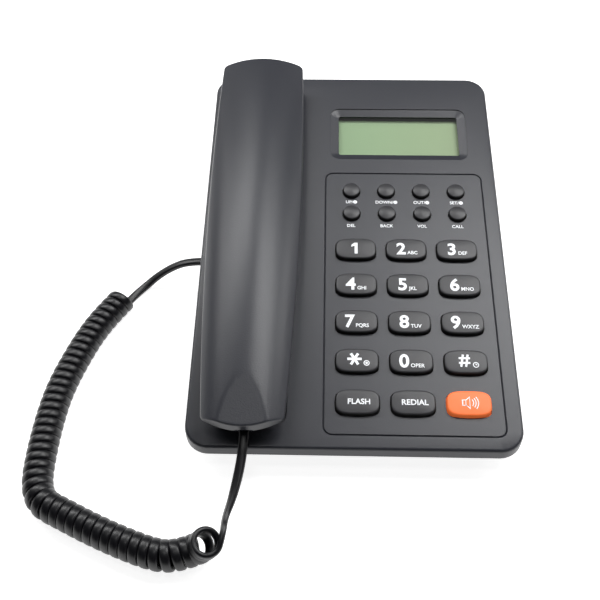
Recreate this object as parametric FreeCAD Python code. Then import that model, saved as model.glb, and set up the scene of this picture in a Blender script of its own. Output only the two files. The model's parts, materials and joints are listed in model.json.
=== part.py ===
"""Corded desk telephone: a tilted base with display and keys, a handset and its curly cord.

Units are millimetres. X is to the right, Y to the rear, Z up, and the feet stand on z = 0.
Pieces of the deck are drawn in the deck's own frame (x right, y up the slope, z out of the deck)
and are then put in place by on_deck().
"""
import FreeCAD, Part
import math
import os

V = FreeCAD.Vector
os.makedirs("parts", exist_ok=True)

# Base housing
BASE_WIDTH = 150.0
BASE_DEPTH = 222.0
FRONT_HEIGHT = 17.0
TILT = 7.0
CORNER_RADIUS = 11.0
WALL = 2.2
DECK_THICKNESS = 2.2
EDGE_ROUND = 1.6
PARTING_HEIGHT = 11.0
PAN_BOTTOM = 3.0
PAN_FLOOR = 2.0
PAN_LIP = 0.6
PAN_TUCK_FRONT = 9.5
PAN_TUCK_SIDE = 5.0
PAN_TUCK_REAR = 3.0
PAN_CORNER_RADIUS = 9.0
CLEARANCE = 0.3
SIDE, END = BASE_WIDTH / 2, BASE_DEPTH / 2

# Feet and case screws
FOOT_DIAMETER = 12.0
FOOT_RECESS = 0.8
FOOT_ROUND = 0.6
FOOT_X = SIDE - 19.0
FOOT_Y = END - 23.0
BOSS_DIAMETER = 6.0
BOSS_BOTTOM = 10.0
POST_DIAMETER = 8.0
SCREW_SHANK = 2.9
SCREW_HEAD = 5.4
SCREW_HEAD_HEIGHT = 2.0
SCREW_HEAD_BOTTOM = 4.0
SCREW_LENGTH = 10.0

# Key panel, in the deck frame: the cradle takes the left of the deck and the panel the rest
CRADLE_X = -SIDE + 26.7
PANEL_LEFT, PANEL_RIGHT = CRADLE_X + 34.9, SIDE - 7.6
PANEL_FRONT, PANEL_REAR = -END + 6.0, END - 68.4
PANEL_WIDTH, PANEL_X = PANEL_RIGHT - PANEL_LEFT, (PANEL_LEFT + PANEL_RIGHT) / 2
PANEL_CORNER = 4.0
GROOVE_WIDTH = 0.9
GROOVE_DEPTH = 0.6
KEY_MARGIN, KEY_GUTTER = 5.6, 5.1
KEY_WIDTH, KEY_HEIGHT = (PANEL_WIDTH - 2 * KEY_MARGIN - 2 * KEY_GUTTER) / 3, 12.2
KEY_X, KEY_PITCH_X = PANEL_X - 0.3, KEY_WIDTH + KEY_GUTTER
KEY_Y, KEY_FRONT_MARGIN = PANEL_REAR - 49.2, 15.2
KEY_PITCH_Y = (KEY_Y - PANEL_FRONT - KEY_FRONT_MARGIN) / 4
KEY_BOW = 1.1
KEY_CORNER = 3.0
KEY_PROUD = 2.2
KEY_EDGE = 0.8
KEY_GAP = 0.35
KEY_TRAVEL = 1.5
FLANGE_RIM = 1.0
FLANGE_DROP = 0.3
FLANGE_THICKNESS = 1.2
ROUND_KEY_X, ROUND_KEY_PITCH = PANEL_X - 0.2, (PANEL_WIDTH - 27.1) / 3
ROUND_KEY_REAR, ROUND_KEY_FRONT = PANEL_REAR - 12.1, PANEL_REAR - 26.5
ROUND_KEY_DIAMETER = 8.7
ROUND_KEY_PROUD = 1.9

# Board stack below the deck
DOME_SQUASHED = 1.5
BOARD_THICKNESS = 1.6
BOARD_LEFT, BOARD_RIGHT = PANEL_LEFT - 4.0, SIDE - 5.0
BOARD_FRONT, BOARD_REAR = -END + 14.0, END - 16.0
BOARD_NOTCH = 8.5
BOARD_BOSS = 5.0
BOARD_SCREW = 2.4
BOARD_SCREW_HEAD = 4.4
BOARD_SCREW_HEAD_HEIGHT = 1.6
BOARD_SCREW_LENGTH = 5.0
BOARD_BOSS_LEFT, BOARD_BOSS_RIGHT = BOARD_LEFT + 2.7, BOARD_RIGHT - 3.5
BOARD_BOSS_FRONT, BOARD_BOSS_REAR = BOARD_FRONT + 27.0, PANEL_REAR + 4.4
BOARD_BOSSES = [(x, y) for x in (BOARD_BOSS_LEFT, BOARD_BOSS_RIGHT)
                for y in (BOARD_BOSS_FRONT, BOARD_BOSS_REAR)]
CASE_BOSSES = [(x, y) for x in (PANEL_LEFT - 8.5, SIDE - 9.0) for y in (-END + 15.0, END - 9.0)]
CAPACITOR_DIAMETER, SMALL_CAPACITOR_DIAMETER, CAPACITOR_HEIGHT = 8.0, 6.3, 9.0
# Blocks below the board, as x and y from the panel's middle and rear, width, length and height
BLOCKS = [(-7.0, -37.6, 14.0, 14.0, 2.0), (13.0, -34.6, 18.0, 10.0, 5.0),
          (-27.0, -54.6, 10.0, 10.0, 2.0), (3.0, -62.6, 8.0, 6.0, 2.0)]
MEMBRANE_THICKNESS = 1.0
MEMBRANE_LEFT, MEMBRANE_RIGHT = PANEL_LEFT + 2.4, PANEL_RIGHT - 4.4
MEMBRANE_FRONT, MEMBRANE_REAR = PANEL_FRONT + 8.5, PANEL_REAR - 4.6
MEMBRANE_CORNER = 2.0
DOME_BASE, DOME_TIP = 7.0, 4.0

# Display, in the deck frame
BEZEL_LEFT, BEZEL_RIGHT = PANEL_LEFT + 2.4, PANEL_RIGHT - 5.2
BEZEL_FRONT, BEZEL_REAR = PANEL_REAR + 9.7, END - 22.7
BEZEL_BEVEL = 4.4
BEZEL_DEPTH = 1.6
BEZEL_STEP = 0.4
BEZEL_CORNER = 5.0
WINDOW_CORNER = 1.2
LENS_MARGIN = 3.4
LENS_THICKNESS = 1.5
LENS_CORNER = 1.0
LCD_DROP = 0.7
LCD_THICKNESS = 2.8
LCD_SIDE_GAP = 0.2
BACKING_WALL = 1.6

# Cradle, in the deck frame
CRADLE_WALL = 2.0
CORNER_Y = END - 7.0
CHANNEL_END = CORNER_Y - 1.0
CHANNEL_DEPTH = 5.0
CHANNEL_CORNER = 8.0
EAR_WELL_DEPTH = 14.0
MOUTH_WELL_DEPTH = 9.0
HEAD_GAP, HEAD_SIDE_GAP = 3.0, 1.0
SEAT_GAP = 0.3

# Handset, in the deck frame
FLANGE_HEIGHT = 12.0
GRIP_BOTTOM = 2.0
SHELL = 2.0
RIM = 0.3
SIDE_TUCK, END_TUCK, KEEL_BEVEL = 3.0, 5.0, 1.2
HALF_FRONT, HALF_MIDDLE, HALF_REAR = 18.2, 23.1, 21.6
WIDEST_Y = 30.0
END_BULGE = 5.3
REAR_REACH = 2.0
HANDSET_CORNER = 3.0
SIDE_FACE = 0.8
RISE_FRONT, RISE_MIDDLE, RISE_REAR = 7.8, 10.2, 3.2
LIFT_FRONT, LIFT_REAR = 0.2, 1.6
ARCH_OVERRUN = 8.0
FACET_APEX_Y = -CORNER_Y + 17.0
FACET_END_HEIGHT = 5.6
RECEIVER_DIAMETER, RECEIVER_HEIGHT, RECEIVER_ROUND = 30.0, 8.0, 1.0
RECEIVER_SIDE, RECEIVER_END = 0.5, 2.5
EAR_HEAD_HALF = RECEIVER_DIAMETER / 2 + RECEIVER_SIDE + SHELL
EAR_HEAD_REAR = CORNER_Y - 7.0
CHANNEL_HALF = EAR_HEAD_HALF + HEAD_SIDE_GAP + 0.1
EAR_HEAD_FRONT = EAR_HEAD_REAR - RECEIVER_DIAMETER - 2 * (RECEIVER_END + SHELL)
MOUTH_HEAD_HALF, MOUTH_HEAD_FRONT, MOUTH_HEAD_REAR = 15.0, -CORNER_Y + 9.0, -CORNER_Y + 42.0
HEAD_CORNER = 8.0
HANDSET_SCREW_Y = CORNER_Y - 58.0
SCREW_SINK = 0.5
HANDSET_BOSS = 7.0
HANDSET_BOSS_BOTTOM = 7.0
EAR_HOLE, EAR_HOLE_RING, EAR_HOLES = 2.2, 6.0, 6
MICROPHONE_DIAMETER, MICROPHONE_HEIGHT = 9.7, 6.7
BOOT_DIAMETER, BOOT_HEIGHT = 13.0, 5.0
WEIGHT_WIDTH, WEIGHT_LENGTH, WEIGHT_HEIGHT, WEIGHT_CORNER = 14.0, 56.0, 6.0, 2.0

# Modular plugs and jacks
PLUG_WIDTH, PLUG_HEIGHT, PLUG_LENGTH = 7.6, 6.0, 12.0
PLUG_FIT = 0.15
LATCH_WIDTH, LATCH_THICKNESS, LATCH_GAP = 3.2, 0.8, 0.4
LATCH_START, LATCH_ROOT, LATCH_END = 3.0, 1.0, 1.5
PIN_COUNT, PIN_PITCH, PIN_SLOT, PIN_LENGTH, PIN_DEPTH = 4, 1.27, 0.5, 5.0, 0.8
PLUG_REACH = 1.4
PLUG_SINK = 2.8
CORD_NOTCH = 1.2
JACK_WALL = 1.4
JACK_DEPTH = 13.5
HANDSET_PLUG_X = CRADLE_X + 0.7
HANDSET_PLUG_HEIGHT = 7.4
BASE_PLUG_Y, BASE_PLUG_Z = -END + 108.0, 16.0
LINE_SLOT_WIDTH, LINE_SLOT_HEIGHT = 9.9, 7.0
LINE_JACK_X, LINE_JACK_Z = PANEL_LEFT + 9.4, 20.0

# Hook switch
PLUNGER_SIDE = 7.0
PLUNGER_CORNER, COLLAR_CORNER = 0.8, 1.0
PLUNGER_Y = EAR_HEAD_REAR - 9.0
PLUNGER_TRAVEL = 5.0
PLUNGER_COLLAR = 11.0
PLUNGER_COLLAR_THICKNESS = 1.5
PLUNGER_SLOT_GAP = 0.25
SPRING_RADIUS, SPRING_WIRE, SPRING_TURNS = 3.6, 0.8, 5
HOOK_SWITCH_TOP = -32.0
HOOK_SWITCH_SIDE = 15.0

# Loudspeaker, on the pan floor
SPEAKER_X, SPEAKER_Y = CRADLE_X + 2.3, EAR_HEAD_FRONT - 26.0
SPEAKER_DIAMETER = 45.0
SPEAKER_RIM = 2.5
CONE_HEIGHT = 5.0
CONE_SKIN, CONE_CAP, CONE_TIP = 1.0, 0.6, 4.0
BASKET_LIP, BASKET_SKIN = 1.0, 1.5
BASKET_HEIGHT = 8.0
MAGNET_DIAMETER, MAGNET_HEIGHT = 24.0, 5.0
GRILLE_SLOT, GRILLE_PITCH, GRILLE_COUNT = 2.2, 5.0, 7
GRILLE_RADIUS = 18.0
GRILLE_CORNER = 1.05
PAN_MICROPHONE_X, PAN_MICROPHONE_Y = PANEL_X - 1.0, -END + 25.0
PAN_MICROPHONE_DIAMETER, PAN_MICROPHONE_HEIGHT = 6.0, 2.7
SOUND_HOLE = 2.0

# Battery compartment
CELL_DIAMETER, CELL_LENGTH = 10.4, 44.5
CELL_COUNT = 3
CELL_GAP = 0.3
CELL_NUB, CELL_NUB_LENGTH, CELL_ROUND = 3.6, 0.8, 0.5
CONTACT_THICKNESS, CONTACT_MARGIN = 0.6, 1.2
BAY_X, BAY_Y = PANEL_X - 1.0, END - 45.0
BAY_WALL = 1.6
DOOR_THICKNESS, DOOR_CORNER = 1.8, 0.5
THUMB_GROOVES, THUMB_MARGIN, THUMB_PITCH = 3, 6.0, 3.0
THUMB_WIDTH, THUMB_LENGTH, THUMB_DEPTH = 1.4, 12.0, 0.6

# Cord: its points are measured from the base's front left corner, on the floor
CORD_DIAMETER = 3.4
CURL_RADIUS = 4.9
CURL_PITCH = 4.35
RAMP_TURNS = 0.7
RAMP_ADVANCE = 15.0
LEAD_IN = 6.8
BASE_LEAD_POINTS = [(-10.0, 108.0, 16.0), (-17.0, 108.4, 11.5), (-23.0, 108.8, 5.5)]
CURL_AXIS_POINTS = [
    (-36.5, 96.5), (-43.5, 87.5), (-53.5, 73.0), (-59.8, 52.0), (-63.6, 30.0),
    (-65.2, 7.0), (-65.8, -17.0), (-48.0, -30.5), (-29.0, -37.5), (-8.5, -46.0),
]
CURL_END_POINTS = [(8.5, -42.0, 6.6), (11.8, -44.0, 14.6)]
HANDSET_LEAD_POINTS = [(21.8, -25.5, 15.2), (24.6, -17.5, 17.6), (26.4, -10.8, 21.4)]
PLUG_RUN = 5.5

FLANGE_TOP = -DECK_THICKNESS - FLANGE_DROP
FLANGE_BOTTOM = FLANGE_TOP - FLANGE_THICKNESS
DOME_TOP = FLANGE_BOTTOM - CLEARANCE
BOARD_TOP = DOME_TOP - KEY_TRAVEL - DOME_SQUASHED - MEMBRANE_THICKNESS
DECK_MID = FRONT_HEIGHT + BASE_DEPTH / 2 * math.tan(math.radians(TILT))
FLOOR_TOP = PAN_BOTTOM + PAN_FLOOR
FAR = 400.0


def on_deck(shape):
    """Puts a shape drawn in the deck frame in place."""
    placed = shape.copy()
    turn = FreeCAD.Rotation(V(1, 0, 0), TILT)
    placed.Placement = FreeCAD.Placement(V(0, 0, DECK_MID), turn).multiply(placed.Placement)
    return placed


def deck_point(x, y, z):
    """A point of the deck frame, in the row frame."""
    angle = math.radians(TILT)
    return V(x, y * math.cos(angle) - z * math.sin(angle),
             DECK_MID + y * math.sin(angle) + z * math.cos(angle))


def box(x0, y0, z0, x1, y1, z1):
    return Part.makeBox(x1 - x0, y1 - y0, z1 - z0, V(x0, y0, z0))


def rod(x, y, z0, z1, diameter):
    return Part.makeCylinder(diameter / 2, z1 - z0, V(x, y, z0))


def rounded_wire(x0, y0, x1, y1, radius, z):
    """A closed rectangle with four quarter-circle corners, at height z."""
    r = radius
    k = r * (1 - math.sqrt(0.5))
    corners = [
        (V(x1 - r, y0, z), V(x1 - k, y0 + k, z), V(x1, y0 + r, z)),
        (V(x1, y1 - r, z), V(x1 - k, y1 - k, z), V(x1 - r, y1, z)),
        (V(x0 + r, y1, z), V(x0 + k, y1 - k, z), V(x0, y1 - r, z)),
        (V(x0, y0 + r, z), V(x0 + k, y0 + k, z), V(x0 + r, y0, z)),
    ]
    edges = []
    for i, (start, middle, end) in enumerate(corners):
        edges.append(Part.Arc(start, middle, end).toShape())
        edges.append(Part.LineSegment(end, corners[(i + 1) % 4][0]).toShape())
    return Part.Wire(edges)


def slab(x0, y0, x1, y1, radius, z0, z1):
    """A rounded rectangle between two heights."""
    face = Part.Face(rounded_wire(x0, y0, x1, y1, radius, z0))
    return face.extrude(V(0, 0, z1 - z0))


def edges_where(shape, test):
    return [e for e in shape.Edges if all(test(v.Point) for v in e.Vertexes)]


def export(name, shape):
    if not shape.isValid():
        print("INVALID", name)
    shape.exportStep("parts/" + name + ".step")
    print(f"{name}: {len(shape.Solids)} solids, {shape.Volume:.1f} mm3")


def group(shapes):
    return Part.makeCompound(shapes)


# Keys

def key_outline(grow, z):
    """The barrel outline of a dial key: four shallow arcs, grown on every side by a gap."""
    a = KEY_WIDTH / 2 + grow
    b = KEY_HEIGHT / 2 + grow
    ca, cb = a - KEY_BOW / 2, b - KEY_BOW
    corner = [V(-ca, -cb, z), V(ca, -cb, z), V(ca, cb, z), V(-ca, cb, z)]
    middle = [V(0, -b, z), V(a, 0, z), V(0, b, z), V(-a, 0, z)]
    edges = [Part.Arc(corner[i], middle[i], corner[(i + 1) % 4]).toShape() for i in range(4)]
    return Part.Wire(edges)


def key_prism(grow, z0, z1):
    prism = Part.Face(key_outline(grow, z0)).extrude(V(0, 0, z1 - z0))
    upright = [e for e in prism.Edges if abs(e.Vertexes[0].Z - e.Vertexes[1].Z) > 0.5 * (z1 - z0)]
    return prism.makeFillet(KEY_CORNER + grow, upright)


def dial_key():
    cap = key_prism(0, FLANGE_TOP, KEY_PROUD)
    cap = cap.makeFillet(KEY_EDGE, edges_where(cap, lambda p: p.z > KEY_PROUD - 0.01))
    half_x = KEY_WIDTH / 2 + FLANGE_RIM
    half_y = KEY_HEIGHT / 2 + FLANGE_RIM
    flange = slab(-half_x, -half_y, half_x, half_y, KEY_CORNER, FLANGE_BOTTOM, FLANGE_TOP)
    return cap.fuse(flange).removeSplitter()


def round_key():
    cap = rod(0, 0, FLANGE_TOP, ROUND_KEY_PROUD, ROUND_KEY_DIAMETER)
    cap = cap.makeFillet(KEY_EDGE, edges_where(cap, lambda p: p.z > ROUND_KEY_PROUD - 0.01))
    flange = rod(0, 0, FLANGE_BOTTOM, FLANGE_TOP, ROUND_KEY_DIAMETER + 2 * FLANGE_RIM)
    return cap.fuse(flange).removeSplitter()


DIAL_NAMES = [
    ["1", "2", "3"], ["4", "5", "6"], ["7", "8", "9"], ["star", "0", "hash"],
    ["flash", "redial", "speaker"],
]
ROUND_NAMES = [["up", "down", "out", "set"], ["delete", "back", "volume", "call"]]
DIAL_KEYS = {
    name: (KEY_X + (column - 1) * KEY_PITCH_X, KEY_Y - row * KEY_PITCH_Y)
    for row, names in enumerate(DIAL_NAMES) for column, name in enumerate(names)
}
ROUND_KEYS = {
    name: (ROUND_KEY_X + (column - 1.5) * ROUND_KEY_PITCH, (ROUND_KEY_REAR, ROUND_KEY_FRONT)[row])
    for row, names in enumerate(ROUND_NAMES) for column, name in enumerate(names)
}


def make_keys():
    cap = dial_key()
    button = round_key()
    for name, (x, y) in DIAL_KEYS.items():
        export("key_" + name, on_deck(cap.translated(V(x, y, 0))))
    for name, (x, y) in ROUND_KEYS.items():
        export("key_" + name, on_deck(button.translated(V(x, y, 0))))


# Handset outlines, which the cradle follows

def half_width_circle():
    """Centre offset and radius of the circle through the three half widths of the handset."""
    arc = Part.Arc(V(HALF_FRONT, -CORNER_Y, 0), V(HALF_MIDDLE, WIDEST_Y, 0), V(HALF_REAR, CORNER_Y + REAR_REACH, 0))
    circle = arc.toShape().Curve
    return circle.Center, circle.Radius


def half_width(y):
    centre, radius = half_width_circle()
    return centre.x + math.sqrt(radius ** 2 - (y - centre.y) ** 2)


def rise(y):
    """Height of the arch above the flange: a parabola through its three named heights."""
    t = y / CORNER_Y
    ends = (RISE_REAR + RISE_FRONT) / 2
    return RISE_MIDDLE + (RISE_REAR - RISE_FRONT) / 2 * t + (ends - RISE_MIDDLE) * t * t


def lift(y):
    """Height of the arch's feet above the flange, growing evenly to the rear."""
    return LIFT_FRONT + (LIFT_REAR - LIFT_FRONT) * (y / CORNER_Y + 1) / 2


def handset_plan(inset, z0, z1, end_inset=None):
    """The handset's outline seen from above, drawn in by an inset, between two heights."""
    tuck = inset if end_inset is None else end_inset
    front, rear, widest = HALF_FRONT - inset, HALF_REAR - inset, HALF_MIDDLE - inset
    end = CORNER_Y - tuck
    tip = end + END_BULGE
    back = end + REAR_REACH
    x = CRADLE_X
    points = [V(x - front, -end, z0), V(x + front, -end, z0), V(x + rear, back, z0), V(x - rear, back, z0)]
    middles = [V(x, -tip, z0), V(x + widest, WIDEST_Y, z0), V(x, tip, z0), V(x - widest, WIDEST_Y, z0)]
    edges = [Part.Arc(points[i], middles[i], points[(i + 1) % 4]).toShape() for i in range(4)]
    prism = Part.Face(Part.Wire(edges)).extrude(V(0, 0, z1 - z0))
    upright = [e for e in prism.Edges if abs(e.Vertexes[0].Z - e.Vertexes[1].Z) > 0.5 * (z1 - z0)]
    return prism.makeFillet(max(HANDSET_CORNER - inset, 1.0), upright)


def handset_wire(inset, end_inset, z):
    """The rounded outline at one height, drawn in by its own amounts at the sides and the ends."""
    prism = handset_plan(inset, z, z + 1, end_inset)
    low = [f for f in prism.Faces if all(abs(v.Z - z) < 0.001 for v in f.Vertexes)]
    return low[0].OuterWire


def keel(inset, z0):
    """The handset's underside: its outline at the flange, drawn in towards a bevelled bottom."""
    bevel = KEEL_BEVEL
    low = handset_wire(SIDE_TUCK + inset + bevel, END_TUCK + inset + bevel, z0)
    middle = handset_wire(SIDE_TUCK + inset, END_TUCK + inset, z0 + bevel)
    high = handset_wire(RIM + inset, RIM + inset, FLANGE_HEIGHT)
    return Part.makeLoft([low, middle, high], True, True)


def arch(inset, bottom):
    """The handset's arched back, drawn in by a wall: circular arcs lofted along its length."""
    reach = CORNER_Y + ARCH_OVERRUN
    sections = []
    for y in [-reach, -0.5 * CORNER_Y, 0.0, 0.5 * CORNER_Y, reach]:
        b = half_width(y) + SIDE_FACE - inset
        foot = FLANGE_HEIGHT + lift(y)
        left, right = V(CRADLE_X - b, y, foot), V(CRADLE_X + b, y, foot)
        crown = V(CRADLE_X, y, foot + rise(y) + SIDE_FACE - inset)
        low_left, low_right = V(left.x, y, FLANGE_HEIGHT), V(right.x, y, FLANGE_HEIGHT)
        straight = [Part.LineSegment(a, b).toShape()
                    for a, b in ((right, low_right), (low_right, low_left), (low_left, left))]
        sections.append(Part.Wire([Part.Arc(left, crown, right).toShape()] + straight))
    back = Part.makeLoft(sections, True, False)
    facet = facet_block(inset)
    if bottom < FLANGE_HEIGHT:
        back = back.fuse(handset_plan(inset, bottom, FLANGE_HEIGHT))
    return back.cut(facet).common(handset_plan(inset, bottom, FLANGE_HEIGHT + 2 * RISE_MIDDLE))


def facet_block(inset):
    """What is cut away above the sloping flat at the mouth end."""
    apex = FLANGE_HEIGHT + lift(FACET_APEX_Y) + rise(FACET_APEX_Y) + SIDE_FACE - inset
    end = FLANGE_HEIGHT + FACET_END_HEIGHT - inset
    tip = -CORNER_Y - END_BULGE
    slope = (apex - end) / (FACET_APEX_Y - tip)
    reach = CORNER_Y + 3 * END_BULGE
    low = apex - slope * (FACET_APEX_Y + reach)
    high = apex + slope * END_BULGE
    side = [V(-FAR, FACET_APEX_Y + END_BULGE, high), V(-FAR, -reach, low), V(-FAR, -reach, FAR),
            V(-FAR, FACET_APEX_Y + END_BULGE, FAR)]
    return Part.Face(Part.makePolygon(side + side[:1])).extrude(V(2 * FAR, 0, 0))


EAR_HEAD_BOTTOM = -EAR_WELL_DEPTH + SEAT_GAP
MOUTH_HEAD_BOTTOM = -MOUTH_WELL_DEPTH + SEAT_GAP
HEADS = [
    (EAR_HEAD_HALF, EAR_HEAD_FRONT, EAR_HEAD_REAR, EAR_WELL_DEPTH),
    (MOUTH_HEAD_HALF, MOUTH_HEAD_FRONT, MOUTH_HEAD_REAR, MOUTH_WELL_DEPTH),
]


def head(half, front, rear, inset, z0, z1):
    return slab(CRADLE_X - half + inset, front + inset, CRADLE_X + half - inset, rear - inset,
                HEAD_CORNER - inset, z0, z1)


HANDSET_SCREW_SEAT = GRIP_BOTTOM + SCREW_HEAD_HEIGHT + SCREW_SINK
PLUG_FRONT_Y = -CORNER_Y - END_BULGE + PLUG_SINK
JACK_FRONT_Y = -CORNER_Y - END_BULGE + END_TUCK + KEEL_BEVEL + SHELL + JACK_WALL
JACK_SIDE = PLUG_WIDTH / 2 + PLUG_FIT


def plug_room(front, back):
    """The room that the handset's plug needs, from front to back."""
    high = PLUG_HEIGHT / 2 + PLUG_FIT
    return box(HANDSET_PLUG_X - JACK_SIDE, front, HANDSET_PLUG_HEIGHT - high,
               HANDSET_PLUG_X + JACK_SIDE, back, HANDSET_PLUG_HEIGHT + high)


def make_handset():
    outer = arch(0, FLANGE_HEIGHT).cut(arch(SHELL, FLANGE_HEIGHT - 1))
    outer = outer.cut(box(HANDSET_PLUG_X - JACK_SIDE, -CORNER_Y - 2 * END_BULGE, FLANGE_HEIGHT,
                          HANDSET_PLUG_X + JACK_SIDE, -CORNER_Y, FLANGE_HEIGHT + CORD_NOTCH))
    for sign in (-1, 1):
        y = sign * HANDSET_SCREW_Y
        boss_top = FLANGE_HEIGHT + lift(y) + rise(y) - SHELL / 2
        boss = rod(CRADLE_X, y, HANDSET_BOSS_BOTTOM, boss_top, HANDSET_BOSS)
        pilot = rod(CRADLE_X, y, HANDSET_BOSS_BOTTOM, HANDSET_SCREW_SEAT + SCREW_LENGTH, SCREW_SHANK)
        outer = outer.fuse(boss).cut(pilot)
    export("handset_outer_shell", on_deck(outer.removeSplitter()))

    inner = keel(0, GRIP_BOTTOM)
    hollow = keel(SHELL, GRIP_BOTTOM + SHELL)
    for half, front, rear, depth in HEADS:
        bottom = -depth + SEAT_GAP
        inner = inner.fuse(head(half, front, rear, 0, bottom, GRIP_BOTTOM + SHELL))
        hollow = hollow.fuse(head(half, front, rear, SHELL, bottom + SHELL, GRIP_BOTTOM + 2 * SHELL))
    inner = inner.cut(hollow)
    inner = inner.cut(plug_room(-CORNER_Y - 2 * END_BULGE, JACK_FRONT_Y))
    ear_y = (EAR_HEAD_FRONT + EAR_HEAD_REAR) / 2
    mouth_y = (MOUTH_HEAD_FRONT + MOUTH_HEAD_REAR) / 2
    ring = [2 * math.pi * i / EAR_HOLES for i in range(EAR_HOLES)]
    spots = [(0, 0)] + [(EAR_HOLE_RING * math.cos(t), EAR_HOLE_RING * math.sin(t)) for t in ring]
    for x, y in spots:
        hole = rod(CRADLE_X + x, ear_y + y, EAR_HEAD_BOTTOM - 1, EAR_HEAD_BOTTOM + SHELL, EAR_HOLE)
        inner = inner.cut(hole)
    inner = inner.cut(rod(CRADLE_X, mouth_y, MOUTH_HEAD_BOTTOM - 1, MOUTH_HEAD_BOTTOM + SHELL, EAR_HOLE))
    for sign in (-1, 1):
        y = sign * HANDSET_SCREW_Y
        seat = rod(CRADLE_X, y, GRIP_BOTTOM + SHELL, HANDSET_BOSS_BOTTOM, HANDSET_BOSS)
        inner = inner.fuse(seat)
        inner = inner.cut(rod(CRADLE_X, y, GRIP_BOTTOM, HANDSET_BOSS_BOTTOM, SCREW_SHANK + CLEARANCE))
        inner = inner.cut(rod(CRADLE_X, y, GRIP_BOTTOM, HANDSET_SCREW_SEAT, SCREW_HEAD + CLEARANCE))
    export("handset_inner_shell", on_deck(inner.removeSplitter()))

    screws = []
    for sign in (-1, 1):
        y = sign * HANDSET_SCREW_Y
        seat = HANDSET_SCREW_SEAT
        cap = rod(CRADLE_X, y, seat - SCREW_HEAD_HEIGHT, seat, SCREW_HEAD)
        screws.append(cap.fuse(rod(CRADLE_X, y, seat, seat + SCREW_LENGTH, SCREW_SHANK)))
        screws[-1] = screws[-1].removeSplitter()
    export("handset_screws", on_deck(group(screws)))

    floor = EAR_HEAD_BOTTOM + SHELL
    capsule = rod(CRADLE_X, ear_y, floor, floor + RECEIVER_HEIGHT, RECEIVER_DIAMETER)
    capsule = capsule.makeFillet(RECEIVER_ROUND, edges_where(capsule, lambda p: p.z > floor + 1))
    export("receiver_capsule", on_deck(capsule))
    floor = MOUTH_HEAD_BOTTOM + SHELL
    capsule = rod(CRADLE_X, mouth_y, floor, floor + MICROPHONE_HEIGHT, MICROPHONE_DIAMETER)
    export("microphone_capsule", on_deck(capsule))
    boot = rod(CRADLE_X, mouth_y, floor, floor + BOOT_HEIGHT, BOOT_DIAMETER)
    boot = boot.cut(rod(CRADLE_X, mouth_y, floor, floor + BOOT_HEIGHT, MICROPHONE_DIAMETER))
    export("microphone_boot", on_deck(boot))

    floor = GRIP_BOTTOM + SHELL
    half, length = WEIGHT_WIDTH / 2, WEIGHT_LENGTH / 2
    weight = slab(CRADLE_X - half, -length, CRADLE_X + half, length, WEIGHT_CORNER,
                  floor, floor + WEIGHT_HEIGHT)
    export("handset_weight", on_deck(weight))

    back = PLUG_FRONT_Y + PLUG_LENGTH + 2 * JACK_WALL
    front = JACK_FRONT_Y
    jack = box(HANDSET_PLUG_X - JACK_SIDE - JACK_WALL, front, floor,
               HANDSET_PLUG_X + JACK_SIDE + JACK_WALL, back,
               HANDSET_PLUG_HEIGHT + PLUG_HEIGHT / 2 + JACK_WALL)
    export("handset_jack", on_deck(jack.cut(plug_room(front, back - JACK_WALL))))
    plug = plug_body().translated(V(HANDSET_PLUG_X, PLUG_FRONT_Y, HANDSET_PLUG_HEIGHT))
    export("handset_plug", on_deck(plug))


def plug_body():
    """A modular plug along +Y from its cord end: latch tongue below, contact slots on top."""
    half, high, latch = PLUG_WIDTH / 2, PLUG_HEIGHT / 2, LATCH_WIDTH / 2
    belly = -high + LATCH_THICKNESS + LATCH_GAP
    tip = PLUG_LENGTH - LATCH_END
    body = box(-half, 0, belly, half, PLUG_LENGTH, high)
    tongue = box(-latch, LATCH_START, -high, latch, tip, -high + LATCH_THICKNESS)
    root = box(-latch, tip - LATCH_ROOT, -high, latch, tip, belly)
    body = body.fuse(tongue).fuse(root)
    for i in range(PIN_COUNT):
        x = (i - (PIN_COUNT - 1) / 2) * PIN_PITCH
        body = body.cut(box(x - PIN_SLOT / 2, PLUG_LENGTH - PIN_LENGTH, high - PIN_DEPTH,
                            x + PIN_SLOT / 2, PLUG_LENGTH, high))
    return body.removeSplitter()


# Base housings

def base_plan(inset, z0, z1):
    x, y = BASE_WIDTH / 2 - inset, BASE_DEPTH / 2 - inset
    return slab(-x, -y, x, y, CORNER_RADIUS - inset, z0, z1)


def above_deck(z):
    """Everything above a plane parallel to the deck."""
    return on_deck(box(-FAR, -FAR, z, FAR, FAR, FAR))


def window_sides():
    return (BEZEL_LEFT + BEZEL_BEVEL, BEZEL_FRONT + BEZEL_BEVEL,
            BEZEL_RIGHT - BEZEL_BEVEL, BEZEL_REAR - BEZEL_BEVEL)


def bezel_cut():
    """The display's sunk frame: a small step, then a sloping bevel down to the window."""
    sides = (BEZEL_LEFT, BEZEL_FRONT, BEZEL_RIGHT, BEZEL_REAR, BEZEL_CORNER)
    outer = rounded_wire(*sides, -BEZEL_STEP)
    inner = rounded_wire(*window_sides(), WINDOW_CORNER, -BEZEL_DEPTH)
    bevel = Part.makeLoft([outer, inner], True, True).fuse(slab(*sides, -BEZEL_STEP, DECK_THICKNESS))
    return bevel.fuse(slab(*window_sides(), WINDOW_CORNER, -FAR / 8, -BEZEL_DEPTH))


def groove():
    """A V-shaped groove round the key panel: the outside of one taper less the inside of another."""
    def outline(grow, z):
        return rounded_wire(PANEL_LEFT - grow, PANEL_FRONT - grow, PANEL_RIGHT + grow, PANEL_REAR + grow,
                            PANEL_CORNER + grow, z)
    half = GROOVE_WIDTH / 2
    outer, root, inner = outline(half, 0), outline(0, -GROOVE_DEPTH), outline(-half, 0)
    return Part.makeLoft([outer, root], True, True).cut(Part.makeLoft([inner, root], True, True))


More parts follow.
